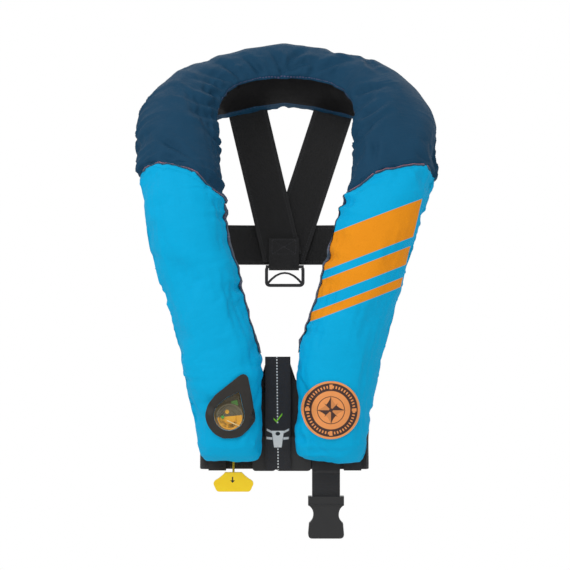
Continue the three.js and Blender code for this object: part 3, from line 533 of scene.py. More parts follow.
def gathered(body, lining, seam):  # sewn gathers at both edges, puckers at the seams, broad dents
    points = coordinates(body)
    along, angle, half = horseshoePlaces(points)
    collar = 1 / (1 + np.exp(-seam / 0.012))
    front = np.clip(lining / 0.006, 0, 1)
    fromNeck = np.abs(angle) * half
    fromOuter = (math.pi - np.abs(angle)) * half
    wave, broad, patch = (np.empty(len(points)) for _ in range(3))
    pitch = horseshoe["gatherPitch"] * mm
    for i, (s, a) in enumerate(zip(along, angle)):
        wave[i] = noise.noise(Vector((s / pitch, a * 0.35, 3.1)))
        broad[i] = noise.noise(Vector((s / 0.055, a * 1.3, 8.4)))
        patch[i] = noise.noise(Vector((s / 0.045, a * 0.3, 5.7)))
    ridge = (1 - np.abs(wave) * 3.2) * np.clip(patch * 2.2 + 0.5, 0.08, 1.3)
    high = horseshoe["gather"] * mm
    rise = high * ridge * bell(fromNeck, 0.04) * (0.45 + 0.55 * collar)
    rise += high * 0.8 * ridge * bell(fromOuter, 0.032) * (0.3 + 0.7 * collar)
    rise += horseshoe["pucker"] * mm * ridge * bell(seam, 0.014)
    rise += horseshoe["dent"] * mm * broad
    setCoordinates(body, points + normalsOf(body) * (rise * front)[:, None])
    print("gathers made")


creases = {  # deep folds of the collar, in X and Z from the seam outwards, in millimetres
    "depth": 4.4,
    "width": 3.6,
    "deepest": 5.5,  # where folds cross
    "highest": 3.0,
    "folds": [
        # fanning out from the middle of the nape
        [(-2, 4), (13, 24), (30, 36)], [(2, 4), (24, 15), (54, 14)], [(-5, 4), (-8, 20), (-20, 34)],
        # round the wearer's right side of the neck
        [(-28, 2), (-42, 18), (-58, 27)], [(-56, -2), (-73, 12), (-92, 17)],
        [(-70, -8), (-88, -4), (-106, 0)], [(-76, -20), (-92, -13), (-112, -8)],
        [(-79, -31), (-94, -25), (-106, -20)], [(-81, -46), (-96, -41), (-110, -36)],
        [(-82, -60), (-98, -56), (-112, -53)], [(-140, -90), (-119, -103), (-101, -117)],
        [(-136, -112), (-118, -118), (-106, -128)],
        # round the left side
        [(90, -27), (108, -22), (129, -19)], [(92, -60), (104, -53), (121, -41)],
        [(93, -78), (106, -64), (124, -54)], [(104, -92), (103, -106), (98, -124)],
        [(60, 34), (74, 34), (86, 28)], [(38, 6), (72, 18), (98, 20)], [(100, 22), (104, 12), (112, 4)],
    ],
}


def creased(body):  # presses the collar's deep folds into its front
    points, normals = coordinates(body), normalsOf(body)
    facing = np.clip(0.55 - normals[:, 1] * 1.4, 0, 1)
    depth = np.zeros(len(points))
    width = creases["width"] * mm
    for fold in creases["folds"]:
        line = evenPoints(curvePoints([Vector((x, 0, z)) * mm for x, z in fold], 8), 2 * mm)
        track = np.array([(p.x, p.z) for p in line])
        gaps = np.linalg.norm(points[:, None, (0, 2)] - track[None], axis=2)
        nearest = gaps.argmin(axis=1)
        gap = gaps.min(axis=1)
        fade = (1 - nearest / len(track)) ** 0.8 * np.clip(0.35 + nearest * 0.2, 0, 1)
        valley = -bell(gap, width) + 0.5 * bell(gap - 2.2 * width, 1.2 * width)
        depth += valley * fade * creases["depth"] * mm
    depth = np.clip(depth, -creases["deepest"] * mm, creases["highest"] * mm) * facing
    setCoordinates(body, points + normals * depth[:, None])
    print("creases pressed")


def makeHorseshoe():
    parts = coverNodes + liningNodes + ["air_bladder", "right_hem_closure", "left_hem_closure"]
    body = joined([copyOf(name, name + "Copy") for name in parts] + fillers(), "horseshoe")
    body.data.remesh_voxel_size = horseshoe["cell"] * mm
    pick(body)
    bpy.ops.object.voxel_remesh()
    modified(body, "SMOOTH", iterations=1, factor=0.5)
    collar, cover, lining = surfaceOf("collar_cover"), surfaceOf(*coverNodes), surfaceOf(*liningNodes)
    lobes = surfaceOf("right_lobe_cover", "left_lobe_cover")
    points = coordinates(body)
    liningGap = nearestDistances(points, lining) - nearestDistances(points, cover)
    puffedUp(body, np.clip(liningGap / 0.012, 0, 1))
    modified(body, "SUBSURF", levels=1, render_levels=1)
    rest = coordinates(body)
    fromLining, fromCover = nearestDistances(rest, lining), nearestDistances(rest, cover)
    seam = nearestDistances(rest, lobes) - nearestDistances(rest, collar)
    liningGap = fromLining - fromCover
    gathered(body, liningGap, seam)
    creased(body)
    along, angle, _ = horseshoePlaces(coordinates(body))
    setAttribute(body, "seam", seam)
    setAttribute(body, "lining", liningGap)
    setAttribute(body, "along", along)
    setAttribute(body, "around", angle * 0.05)
    print("horseshoe", len(body.data.polygons), "faces")
    return body


prints = {  # slanted stripes on the left lobe, in metres: lower and upper edge of each at "from"
    "from": 0.09,
    "stripes": [(-0.2235, -0.1845), (-0.2520, -0.2330), (-0.2750, -0.2650)],
    "slope": 0.38,
    "rightEnd": 0.139,
    "lean": 0.24,
}


def coverPaint():
    paint = Finish("coverFabric", "#00afe3", 0.62, specular_ior_level=0.1)
    x, y, z = paint.split(paint.place)
    seam, lining = paint.attribute("seam"), paint.attribute("lining")
    along, around = paint.attribute("along"), paint.attribute("around")
    rows, columns = (along * 5200).sin(), (around * 5200).sin()
    weave = rows * columns
    cloud = paint.noise(paint.place, 22)
    cyan = mottled(paint, hexColor("#00b4ea"), paint.place, 30, 0.05)
    navy = mottled(paint, hexColor("#1a4562"), paint.place, 40, 0.1)
    black = mottled(paint, hexColor("#131213"), paint.place, 90, 0.2)
    orange = mottled(paint, hexColor("#fd9c1a"), paint.place, 60, 0.05)
    height = z - (x - prints["from"]) * prints["slope"]
    right = x - (z + 0.23) * prints["lean"]
    stripes = 0.0
    for low, high in prints["stripes"]:
        stripes = height.between(low, high, 0.0004) + stripes
    printed = stripes * right.below(prints["rightEnd"], 0.0004) * x.above(0.0) * y.below(-0.135, 0.002)
    color = paint.mix(printed * seam.below(-0.003), cyan, orange)
    color = paint.mix(seam.above(0.0, 0.0004), color, navy)
    hem = around.abs().above(0.1, 0.004) * seam.above(0.02, 0.01)  # the collar's hem turns under
    lining = lining + hem * 0.012
    trim = lining.between(0.0, 0.0045, 0.0004) * seam.below(0)
    color = paint.mix(trim, color, navy)
    stitched = lining.between(0.0022, 0.0030, 0.0002) * (along * 1500).sin().above(-0.2, 0.2)
    color = paint.mix(stitched * 0.5, color, hexColor("#7f6f97"))
    color = paint.mix(lining.below(0.0, 0.0005), color, black)
    threads = paint.mix(weave.above(0, 0.8) * 0.07, color, hexColor("#0c1a24"))
    paint.set("Base Color", threads)
    paint.set("Roughness", cloud * 0.16 + 0.54)
    creases = paint.noise(paint.combine(along * 9, around * 3), 14, 4, 0.6)
    stitchDip = lining.between(0.0018, 0.0034, 0.0004) + seam.abs().between(0.0042, 0.0052, 0.0004)
    paint.bump(weave * 0.05 + creases * 0.9 - stitchDip * 0.4, 0.0012, 0.8)
    return paint.material


def cutWell(body):  # the hole behind the window, where the inflator shows
    cutter = flatPatch([paneLine(-1.6)], "wellCutter")
    points = coordinates(cutter)
    points[:, 1] = -0.1455
    setCoordinates(cutter, points)
    modified(cutter, "SOLIDIFY", thickness=0.047, offset=1)
    packed = Finish("wellFabric", "#d79a1c", 0.7)
    fold = packed.noise(packed.place, 90)
    packed.set("Base Color", packed.mix(fold, hexColor("#cf8f18"), hexColor("#ffc832")))
    packed.bump(fold, 0.004)
    cutter.data.materials.append(packed.material)
    modified(body, "BOOLEAN", operation="DIFFERENCE", solver="EXACT", object=cutter,
             material_mode="TRANSFER")
    bpy.data.objects.remove(cutter)
    return body


webbing = {  # millimetres
    "thick": 2.0,
    "step": 4.0,  # between rows of points
    "ripple": 0.5,
    "rippleStart": 40,  # a strap lies flat over this length at its sewn end
    "ribPitch": 1.6,
    "yokeWidth": 49,
    "backWidth": 50,
    "waistWidth": 40,
    "stitch": (2.2, 0.7),  # length and thickness of one sewn stitch
    "stitchPitch": 3.0,
}


def webbingPaint():  # the attribute weave holds metres across and along, and how near an edge is
    color = "#2a2a2b"
    paint = Finish("webbing", color, 0.82, sheen_weight=0.15, specular_ior_level=0.3)
    across, along, side = paint.split(paint.attribute("weave", "Vector"))
    rib = (along * (2 * math.pi / (webbing["ribPitch"] * mm))).sin()
    chevron = ((along + across.repeat(0.006) * 1.6) * 5400).sin()
    yarn = (across * 9000).sin()
    grain = paint.noise(paint.combine(across * 60, along * 14), 6)
    selvedge = side.above(0.9, 0.04)
    tone = chevron.above(0, 0.7) * 0.35 + grain * 0.5
    cloth = paint.mix(tone, shaded(hexColor(color), 0.68), shaded(hexColor(color), 1.5))
    stitched = side.between(0.80, 0.855, 0.012) * (along * 1900).sin().above(-0.1, 0.15)
    cloth = paint.mix(selvedge * 0.6, cloth, hexColor("#38383a"))
    cloth = paint.mix(stitched * 0.5, cloth, hexColor("#4c4c50"))
    paint.set("Base Color", cloth)
    paint.set("Roughness", grain * 0.2 + 0.7)
    paint.bump(rib * 0.25 + chevron * 0.35 + yarn * 0.15 + stitched * 0.5 - selvedge * 0.3, 0.0006, 0.8)
    return paint.material


def layWebbing(name, route, across, width, seed=0, ripple=1.0, smooth=True):  # route in millimetres
    knots = [Vector(p) * mm for p in route]
    line = evenPoints(curvePoints(knots, 8) if smooth else knots, webbing["step"] * mm)
    rows = len(line) - 1
    bpy.ops.mesh.primitive_grid_add(x_subdivisions=8, y_subdivisions=rows, size=1)
    strap = bpy.context.active_object
    strap.name = strap.data.name = name
    points = coordinates(strap)
    side, weave = Vector(across), np.empty_like(points)
    lengths = np.concatenate([[0], np.cumsum([(b - a).length for a, b in zip(line, line[1:])])])
    for i, (u, v, _) in enumerate(points):
        row = round((v + 0.5) * rows)
        tangent = (line[min(row + 1, rows)] - line[max(row - 1, 0)]).normalized()
        lateral = (side - tangent * side.dot(tangent)).normalized()
        lift = noise.noise(Vector((lengths[row] * 14, u * 1.4, seed + 0.5)))
        lift *= webbing["ripple"] * ripple * mm * min(1, lengths[row] / (webbing["rippleStart"] * mm))
        points[i] = line[row] + lateral * (u * width * mm) + tangent.cross(lateral) * lift
        weave[i] = (u * width * mm, lengths[row], abs(u) * 2)
    setCoordinates(strap, points)
    setAttribute(strap, "weave", weave)
    modified(strap, "SOLIDIFY", thickness=webbing["thick"] * mm, offset=0)
    modified(strap, "BEVEL", width=0.55 * mm, segments=2, limit_method="ANGLE",
             angle_limit=math.radians(50))
    return smoothed(strap, 50)


def backBeltPoint(x, lift=0.0):  # the back belt bends forwards past the middle
    past = max(0, abs(x) - 26) / 52
    return (x, 77.6 + lift - 12 * past ** 2, -206.5)


def sideBelt(side, frontEnd):  # from the front round the wearer's side to the back belt
    y, z = -135.2, -448
    return [(frontEnd, y, z), (side * 60, y, z), (side * 89.5, y, z), (side * 94.2, y + 1.2, z),
            (side * 96, y + 8, z + 0.5), (side * 96, y + 22, z + 6), (side * 95, y + 48, z + 34),
            (side * 98, y + 84, z + 92), (side * 100, y + 126, z + 158), (side * 100, y + 158, z + 202),
            (side * 97, y + 182, z + 228), (side * 91, 57.6, -211.5), (side * 82, 66.6, -208),
            backBeltPoint(side * 78.5, 2.3), backBeltPoint(side * 69, 2.45), backBeltPoint(side * 60, 2.3)]


def stitchBox(name, centre, width, height, paint):  # a sewn box with a cross, lying on webbing
    w, h = width / 2, height / 2
    corners = [(-w, -h), (w, -h), (w, h), (-w, h)]
    runs = [(corners[i], corners[(i + 1) % 4]) for i in range(4)]
    runs += [(corners[0], corners[2]), (corners[1], corners[3])]
    long, thick = webbing["stitch"]
    stitches = []
    for (ax, az), (bx, bz) in runs:
        count = max(2, round(math.hypot(bx - ax, bz - az) / webbing["stitchPitch"]))
        for k in range(count):
            t = (k + 0.5) / count
            spot = (centre[0] + ax + (bx - ax) * t, centre[1], centre[2] + az + (bz - az) * t)
            bpy.ops.mesh.primitive_uv_sphere_add(segments=8, ring_count=6, radius=0.5,
                                                 location=[c * mm for c in spot],
                                                 rotation=(0, -math.atan2(bz - az, bx - ax), 0))
            bpy.context.active_object.scale = (long * mm, thick * mm, thick * mm)
            stitches.append(named("stitch"))
    sewn = smoothed(joined(stitches, name), 80)
    return finished(sewn, paint, "jacket", "webbing")


def makeYokeStraps(paint):
    foot = -223
    for side, top, footX, footY, seed in (("right", (-48, 66, -32), -2.6, 70.4, 1),
                                          ("left", (66, 60, -26), 1, 73.0, 2)):
        a, b = Vector(top), Vector((footX, footY, foot))
        bend = a.lerp(b, 0.55)
        bend.y = footY
        underCollar = a + (a - b).normalized() * 6
        strap = layWebbing(side + "YokeStrap", [underCollar, a.lerp(bend, 0.5), bend, b], (1, 0, 0),
                           webbing["yokeWidth"], seed)
        finished(strap, paint, "jacket", "webbing", side + "_yoke_strap")


def makeBelts(paint):
    upright = (0, 0, 1)
    route = [backBeltPoint(x) for x in (-78, -66, -52, -38, -26, 0, 26, 38, 52, 66, 78)]
    belt = layWebbing("backBelt", route, upright, webbing["backWidth"], 3)
    finished(belt, paint, "jacket", "webbing", "back_belt")
    for side, name, frontEnd in ((-1, "right", -68), (1, "left", 21.8)):
        route = [p for p in sideBelt(side, frontEnd) if side > 0 or p[0] <= frontEnd or p[1] > 0]
        strap = layWebbing(name + "WaistBelt", route, upright, webbing["waistWidth"], 4 + side)
        finished(strap, paint, "jacket", "webbing", name + "_waist_belt")
    tail = layWebbing("rightBeltTail", [(x, -132.9, -448) for x in (-28.1, -48, -68.2)], upright,
                      webbing["waistWidth"], 7, ripple=0.1, smooth=False)
    finished(tail, paint, "plug", "webbing", "right_belt_tail")


def makeLoops(paint):  # short folded pieces, dressed from their CAD shapes
    for node, name, body in (("ring_loop", "ringLoop", "jacket"), ("crotch_loop", "crotchLoop", "jacket"),
                             ("crotch_strap", "crotchStrap", "crotch"),
                             ("right_belt_keeper", "rightKeeper", "jacket"),
                             ("left_belt_keeper", "leftKeeper", "jacket")):
        strap = copyOf(node, name)
        if node == "crotch_strap":  # its top goes up between the loop's two layers
            points = coordinates(strap)
            top = points[:, 2] > -0.4765
            points[top, 2] += 5 * mm
            points[top, 1] = -0.1352 + (points[top, 1] + 0.1352) * 0.6
            setCoordinates(strap, points)
        modified(strap, "BEVEL", width=0.4 * mm, segments=2, limit_method="ANGLE",
                 angle_limit=math.radians(40))
        points = coordinates(strap)
        low, high = points.min(0), points.max(0)
        across = points[:, 0] - (low + high)[0] / 2
        edge = np.abs(across) / ((high - low)[0] / 2)
        setAttribute(strap, "weave", np.stack([across, points[:, 2], edge], 1))
        finished(smoothed(strap, 40), paint, body, "webbing", node)


def makeWebbing():
    paint = webbingPaint()
    thread = Finish("webbingThread", "#47474b", 0.6)
    twist = (thread.split(thread.place)[2] * 9000).sin()
    thread.set("Base Color", thread.mix(twist.above(0, 0.8), hexColor("#38383c"), hexColor("#55555a")))
    makeYokeStraps(paint)
    makeBelts(paint)
    makeLoops(paint)
    stitchBox("yokeStitching", (-0.7, 67.0, -209), 30, 18, thread.material)
    stitchBox("leftLapStitching", (69, 73.2, -206.5), 14, 40, thread.material)
    stitchBox("rightLapStitching", (-69, 73.2, -206.5), 14, 40, thread.material)
    stitchBox("loopStitching", (-0.7, 79.0, -206.5), 30, 38, thread.material)
    print("webbing laid")


def coverSurface(body):
    corners = [vertex.co.copy() for vertex in body.data.vertices]
    return BVHTree.FromPolygons(corners, [list(face.vertices) for face in body.data.polygons])


piping = {  # millimetres
    # the navy cord is painted shadow: a dark cord on the seam, under the pink piping, where the piping's
    # shadow falls
    "shadowCordRadius": 1.25,
    "pinkRadius": 0.6,
    "pinkAbove": 1.5,
    "bindingLift": 1.2,  # how proud of the cover the neck binding lies
    "bindingRipple": 0.3,
}


def seamLine(body, side):  # where the seam's measure is 0, from the neck edge round the front
    mesh = body.data
    seam = np.empty(len(mesh.vertices))
    mesh.attributes["seam"].data.foreach_get("value", seam)
    lining = np.empty(len(mesh.vertices))
    mesh.attributes["lining"].data.foreach_get("value", lining)
    points = coordinates(body)
    found = []
    for edge in mesh.edges:
        i, j = edge.vertices
        if seam[i] * seam[j] < 0 and lining[i] > -0.001 and points[i][0] * side > 0:
            t = seam[i] / (seam[i] - seam[j])
            found.append(points[i] * (1 - t) + points[j] * t)
    found = np.array(found)
    _, angle, _ = horseshoePlaces(found)
    marks = np.linspace(angle.min() + 0.02, angle.max() - 0.02, 46)
    line = np.stack([np.convolve(np.interp(marks, np.sort(angle), found[np.argsort(angle)][:, k]),
                                 np.ones(3) / 3, "valid") for k in range(3)], 1)
    return [Vector(p) for p in line]


def makePiping(body):
    surface, cover = coverSurface(body), surfaceOf(*coverNodes)
    # the navy cord below paints the shadow that the pink piping casts on the seam
    navy = Finish("pipingShadowNavy", "#1d3b52", 0.6, sheen_weight=0.2)
    pink = Finish("pipingPink", "#a8647f", 0.6, sheen_weight=0.2)
    for paint, low, high in ((navy, "#16324a", "#2b5673"), (pink, "#8d4a6c", "#d28a92")):
        x, y, z = paint.split(paint.place)
        cordTwist = ((x * 0.8 + y * 0.5 + z * 0.6) * 4200).sin()
        paint.set("Base Color", paint.mix(cordTwist.above(0, 0.6), hexColor(low), hexColor(high)))
        paint.bump(cordTwist, 0.0002)
    for side, name in ((-1, "right"), (1, "left")):
        line = seamLine(body, side)
        shadowCordLine, pinkLine = [], []
        for p in line:
            spot, normal, _, _ = surface.find_nearest(p)
            shadowCordLine.append(spot + normal * 0.3 * mm)
            lifted = spot + Vector((0, 0, piping["pinkAbove"] * mm))
            spot, normal, _, _ = surface.find_nearest(lifted)
            pinkLine.append(spot + normal * 0.35 * mm)
        # the navy tube is painted shadow under the pink trim tube
        shadowCordTube = tubeAlong(shadowCordLine, piping["shadowCordRadius"] * mm, name + "SeamShadowCord")
        pinkTube = tubeAlong(pinkLine, piping["pinkRadius"] * mm, name + "SeamTrim")
        finished(shadowCordTube, navy.material, "jacket", "piping", name + "_seam_piping")
        finished(pinkTube, pink.material, "jacket", "piping")
    for side, name in ((-1, "right"), (1, "left")):
        strip = copyOf(name + "_edge_binding", name + "Binding")
        pick(strip)
        modified(strip, "SUBSURF", levels=2, render_levels=2, subdivision_type="SIMPLE")
        points = coordinates(strip)
        for i, p in enumerate(points):
            spot, normal, _, _ = surface.find_nearest(Vector(p))
            ripple = piping["bindingRipple"] * mm * noise.noise(Vector(p) * 130)
            outer = cover.find_nearest(Vector(p))[3] > 1.1 * mm
            points[i] = spot + normal * ((piping["bindingLift"] if outer else 0.1) * mm + ripple)
        setCoordinates(strip, points)
        smoothed(strip, 60)
        trim = Finish(name + "BindingTape", "#23445d", 0.65, sheen_weight=0.2)
        x, y, z = trim.split(trim.place)
        # the pinkish marks are pink stitching, partly real thread and partly a painted highlight: they show
        # only in noise patches, where the stitches would catch the light
        stitch = (z * 1700).sin().above(0.2, 0.2) * trim.noise(trim.place, 60).above(0.5, 0.1)
        trim.set("Base Color", trim.mix(stitch * 0.45, hexColor("#21425c"), hexColor("#8a6f96")))
        trim.bump((z * 5200).sin() * 0.3 + trim.noise(trim.place, 300), 0.0004)
        finished(strip, trim.material, "jacket", "collar_fabric", name + "_edge_binding")
    print("piping and binding laid")


window = {  # millimetres; both outlines are a round foot with these corners above it
    "x": -62,
    "z": -403,
    "frame": 26,  # radius of the foot
    "frameCorners": [(-15.5, 23), (10, 43.5), (13, 45.6), (16, 46.4), (18.8, 45.4), (20.8, 42.6),
                     (24.6, 22), (28.4, -4), (28.3, -7.2), (26.6, -10)],
    "pane": 18.5,
    "thick": 1.5,
}
laying = {  # millimetres, for what is laid on the lobes' fronts
    "from": -250,  # rays start here and go back
    "reach": 110,
    "probe": 2.5,  # the frontmost of five points this far apart carries the patch
    "otherwise": -165,
}


def shieldLine(radius, tip, side, left, steps=40):  # a round foot and the corners that close it
    x, z = window["x"], window["z"]
    start, stop = math.radians(side), math.radians(left)
    round_ = [(x + radius * math.cos(start + (stop - start) * k / steps),
               z + radius * math.sin(start + (stop - start) * k / steps)) for k in range(steps + 1)]
    corner = [(x + dx, z + dz) for dx, dz in tip]
    return round_ + corner


def paneLine(grow):  # the clear pane's outline, grown or shrunk
    tip = [(-3 - grow * 0.4, 21.5 + grow), (9.5, 27.5 + grow), (12 + grow * 0.4, 27.5 + grow),
           (13.5 + grow, 25 + grow * 0.6)]
    return shieldLine(window["pane"] + grow, tip, 8, -226)


def flatPatch(outlines, name):  # a flat shape from closed outlines in X and Z, finely divided
    curve = bpy.data.curves.new(name, "CURVE")
    curve.dimensions = "2D"
    curve.fill_mode = "BOTH"
    for outline in outlines:
        spline = curve.splines.new("POLY")
        spline.points.add(len(outline) - 1)
        spline.use_cyclic_u = True
        for knot, (x, z) in zip(spline.points, outline):
            knot.co = (x * mm, z * mm, 0, 1)
    obj = bpy.data.objects.new(name, curve)
    bpy.context.scene.collection.objects.link(obj)
    pick(obj)
    bpy.ops.object.convert(target="MESH")
    obj = bpy.context.active_object
    points = coordinates(obj)  # drawn flat, then stood upright
    setCoordinates(obj, np.stack([points[:, 0], np.full(len(points), -0.2), points[:, 1]], 1))
    pick(obj)
    bpy.ops.object.mode_set(mode="EDIT")
    bpy.ops.mesh.select_all(action="SELECT")
    bpy.ops.mesh.remove_doubles(threshold=0.00001)
    bpy.ops.mesh.subdivide(number_cuts=3)
    bpy.ops.mesh.quads_convert_to_tris()
    bpy.ops.mesh.beautify_fill()
    bpy.ops.mesh.normals_make_consistent(inside=False)
    bpy.ops.object.mode_set(mode="OBJECT")
    if sum(face.normal.y for face in obj.data.polygons) > 0:
        bpy.ops.object.mode_set(mode="EDIT")
        bpy.ops.mesh.flip_normals()
        bpy.ops.object.mode_set(mode="OBJECT")
    return obj


def onCover(obj, surface, lift):  # lays a flat patch on the cover, following its bulge
    points = coordinates(obj)
    step = laying["probe"] * mm
    start, reach = laying["from"] * mm, laying["reach"] * mm
    for i, (x, _, z) in enumerate(points):
        found = []
        for dx, dz in ((0, 0), (step, 0), (-step, 0), (0, step), (0, -step)):
            hit = surface.ray_cast(Vector((x + dx, start, z + dz)), Vector((0, 1, 0)), reach)[0]
            if hit is not None:
                found.append(hit.y)
        points[i][1] = (min(found) if found else laying["otherwise"] * mm) - lift * mm
    setCoordinates(obj, points)
    return obj


def makeWindow(surface):
    vinyl = Finish("windowVinyl", "#2c2a27", 0.42, specular_ior_level=0.35)
    grain = vinyl.noise(vinyl.place, 900, 2)
    cloud = vinyl.noise(vinyl.place, 60)
    vinyl.set("Base Color", vinyl.mix(cloud, hexColor("#1f1d1b"), hexColor("#37332f")))
    vinyl.set("Roughness", cloud * 0.25 + 0.32)
    vinyl.bump(grain, 0.0002, 0.5)
    outline = shieldLine(window["frame"], window["frameCorners"], -56, -218)
    frameBand = onCover(flatPatch([outline, paneLine(-1.2)], "windowFrame"), surface, 0.9)
    modified(frameBand, "SOLIDIFY", thickness=window["thick"] * mm, offset=1)
    modified(frameBand, "BEVEL", width=0.45 * mm, segments=2, limit_method="ANGLE",
             angle_limit=math.radians(55))
    finished(smoothed(frameBand, 45), vinyl.material, "jacket", "window_frame", "window_frame")
    clear = Finish("clearVinyl", "#fff0c0", 0.12, specular_ior_level=0.4, coat_weight=0.1)
    ripple = clear.noise(clear.place, 70, 2)
    clear.set("Roughness", ripple * 0.12 + 0.06)
    clear.set("Alpha", clear.noise(clear.place, 45) * 0.05 + 0.01)
    clear.bump(ripple, 0.0012, 0.6)
    pane = onCover(flatPatch([paneLine(1.6)], "windowPane"), surface, 0.45)
    modified(pane, "SOLIDIFY", thickness=0.4 * mm, offset=1)
    finished(smoothed(pane, 60), clear.material, "jacket", "window_clear", "window_pane")
    print("window laid")


badge = {  # millimetres
    "x": 52,
    "z": -397,
    "radius": 32.5,
    "thick": 0.8,
    "band": (21.6, 30.2),  # the dark ring
    "marks": (24.5, 27.5),  # fine pale marks in it
    "quarters": (23.5, 28.8),
    "star": 17.8,
    "smallStar": 11.5,
    "rings": [(14.8, 15.6), (5.0, 5.6)],
}


def badgePaint():  # a compass rose inside a ring of marks
    paint = Finish("badgePrint", "#fdad6c", 0.55)
    x, _, z = paint.split(paint.place)
    u, v = x - badge["x"] * mm, z - badge["z"] * mm
    radius = (u * u + v * v).math("SQRT")
    turn = v.math("ARCTAN2", u)
    orange = mottled(paint, hexColor("#fb9f57"), paint.place, 120, 0.06)
    dark = mottled(paint, hexColor("#43261f"), paint.place, 150, 0.2)
    band = radius.between(*(r * mm for r in badge["band"]))
    fine = (turn * 48).sin().above(0.1, 0.1) * radius.between(*(r * mm for r in badge["marks"]), 0.0002)
    quarter = (turn * 4).math("COSINE").above(0.965, 0.006)
    quarter = quarter * radius.between(*(r * mm for r in badge["quarters"]), 0.0002)
    sharp, slant = 0.62, math.sqrt(0.5)
    spread = u.abs().math("POWER", sharp) + v.abs().math("POWER", sharp)
    turned = ((u + v).abs() * slant).math("POWER", sharp) + ((u - v).abs() * slant).math("POWER", sharp)
    star = spread.below((badge["star"] * mm) ** sharp, 0.001)
    star = star.most(turned.below((badge["smallStar"] * mm) ** sharp, 0.001))
    ring = 0.0
    for low, high in badge["rings"]:
        ring = radius.between(low * mm, high * mm, 0.0002) + ring
    half = (turn * 4).sin().above(0, 0.02)
    mask = band * (1 - fine) * (1 - quarter)
    mask = mask.most(star * (half * 0.75 + 0.25)).most(ring * (1 - star)).most(radius.below(2.2 * mm))
    paint.set("Base Color", paint.mix(mask, orange, dark))
    weave = (x * 4300).sin() * (z * 4300).sin()
    paint.set("Roughness", paint.noise(paint.place, 90) * 0.2 + 0.45)
    paint.bump(weave * 0.4 + mask * 0.6, 0.0003)
    return paint.material


def makeBadge(surface):
    bpy.ops.mesh.primitive_circle_add(vertices=72, radius=badge["radius"] * mm, fill_type="NGON",
                                      location=(badge["x"] * mm, -0.2, badge["z"] * mm),
                                      rotation=(math.radians(90), 0, 0))
    disc = named("roundBadge")
    bpy.ops.object.mode_set(mode="EDIT")
    bpy.ops.mesh.select_all(action="SELECT")
    bpy.ops.mesh.inset(thickness=0.6 * mm)
    for _ in range(9):
        bpy.ops.mesh.inset(thickness=3.2 * mm)
    bpy.ops.mesh.poke()
    bpy.ops.object.mode_set(mode="OBJECT")
    if disc.data.polygons[0].normal.y > 0:
        bpy.ops.object.mode_set(mode="EDIT")
        bpy.ops.mesh.select_all(action="SELECT")
        bpy.ops.mesh.flip_normals()
        bpy.ops.object.mode_set(mode="OBJECT")
    onCover(disc, surface, 0.7)
    modified(disc, "SOLIDIFY", thickness=badge["thick"] * mm, offset=1)
    finished(smoothed(disc, 45), badgePaint(), "jacket", "badge_print", "round_badge")
    print("badge laid")


def plasticPaint(name, color, roughness, spread=0.12):
    paint = Finish(name, color, roughness, specular_ior_level=0.45)
    cloud = paint.noise(paint.place, 70)
    grain = paint.noise(paint.place, 1400, 2)
    dark, light = shaded(hexColor(color), 1 - spread), shaded(hexColor(color), 1 + spread)
    paint.set("Base Color", paint.mix(cloud, dark, light))
    paint.set("Roughness", grain * 0.12 + (roughness - 0.05))
    paint.bump(grain, 0.0002, 0.6)
    return paint.material


def metalPaint(name, color, roughness):
    paint = Finish(name, color, roughness, metallic=0.9)
    x, y, z = paint.split(paint.place)
    brushed = paint.noise(paint.combine(x * 1400, y * 1400, z * 60), 1, 3)
    worn = paint.noise(paint.place, 160)
    paint.set("Base Color", paint.mix(worn, shaded(hexColor(color), 0.8), shaded(hexColor(color), 1.25)))
    paint.set("Roughness", brushed * 0.2 + (roughness - 0.08))
    paint.bump(brushed, 0.0001, 0.5)
    return paint.material


def dressNode(name, material, bevel=0.5):  # a CAD node keeps its mesh and gets soft edges and a finish
    node = nodes[name]
    node.data.materials.clear()
    node.data.materials.append(material)
    pick(node)
    weld = node.modifiers.new("weld", "WELD")
    weld.merge_threshold = hair
    soft = node.modifiers.new("softEdges", "BEVEL")
    soft.width = bevel * mm
    soft.segments = 2
    soft.limit_method = "ANGLE"
    soft.angle_limit = math.radians(35)
    return node


tab = {"arrowX": -59, "arrowZ": -478, "front": -152.4}  # millimetres


def tabPaint():  # a moulded yellow grip with an arrow pointing down
    paint = Finish("tabYellow", "#ffd60f", 0.42)
    x, y, z = paint.split(paint.place)
    u, v = x - tab["arrowX"] * mm, z - tab["arrowZ"] * mm
    shaft = u.abs().below(0.0007, 0.0001) * v.between(-0.0012, 0.0030, 0.0001)
    head = (u.abs() * 1.1 - v).below(0.0040, 0.0001) * v.between(-0.0040, -0.0010, 0.0001)
    front = y.below(tab["front"] * mm, 0.0001)
    arrow = shaft.most(head) * front
    cloud = paint.noise(paint.place, 80)
    yellow = paint.mix(cloud, hexColor("#fbcd06"), hexColor("#ffdf1c"))
    paint.set("Base Color", paint.mix(arrow, yellow, hexColor("#1c1b18")))
    paint.set("Roughness", cloud * 0.15 + 0.34)
    paint.bump(paint.noise(paint.place, 1200, 2), 0.0002, 0.5)
    return paint.material


flap = {  # millimetres
    "x": -7.6,
    "width": 29,
    "top": -339,
    "foot": -468,
    "front": -143,
    "back": -138,
    "sign": -429,  # middle of the buckle sign
    "dashPitch": 3.4,
    "dashWidth": 1.4,
}


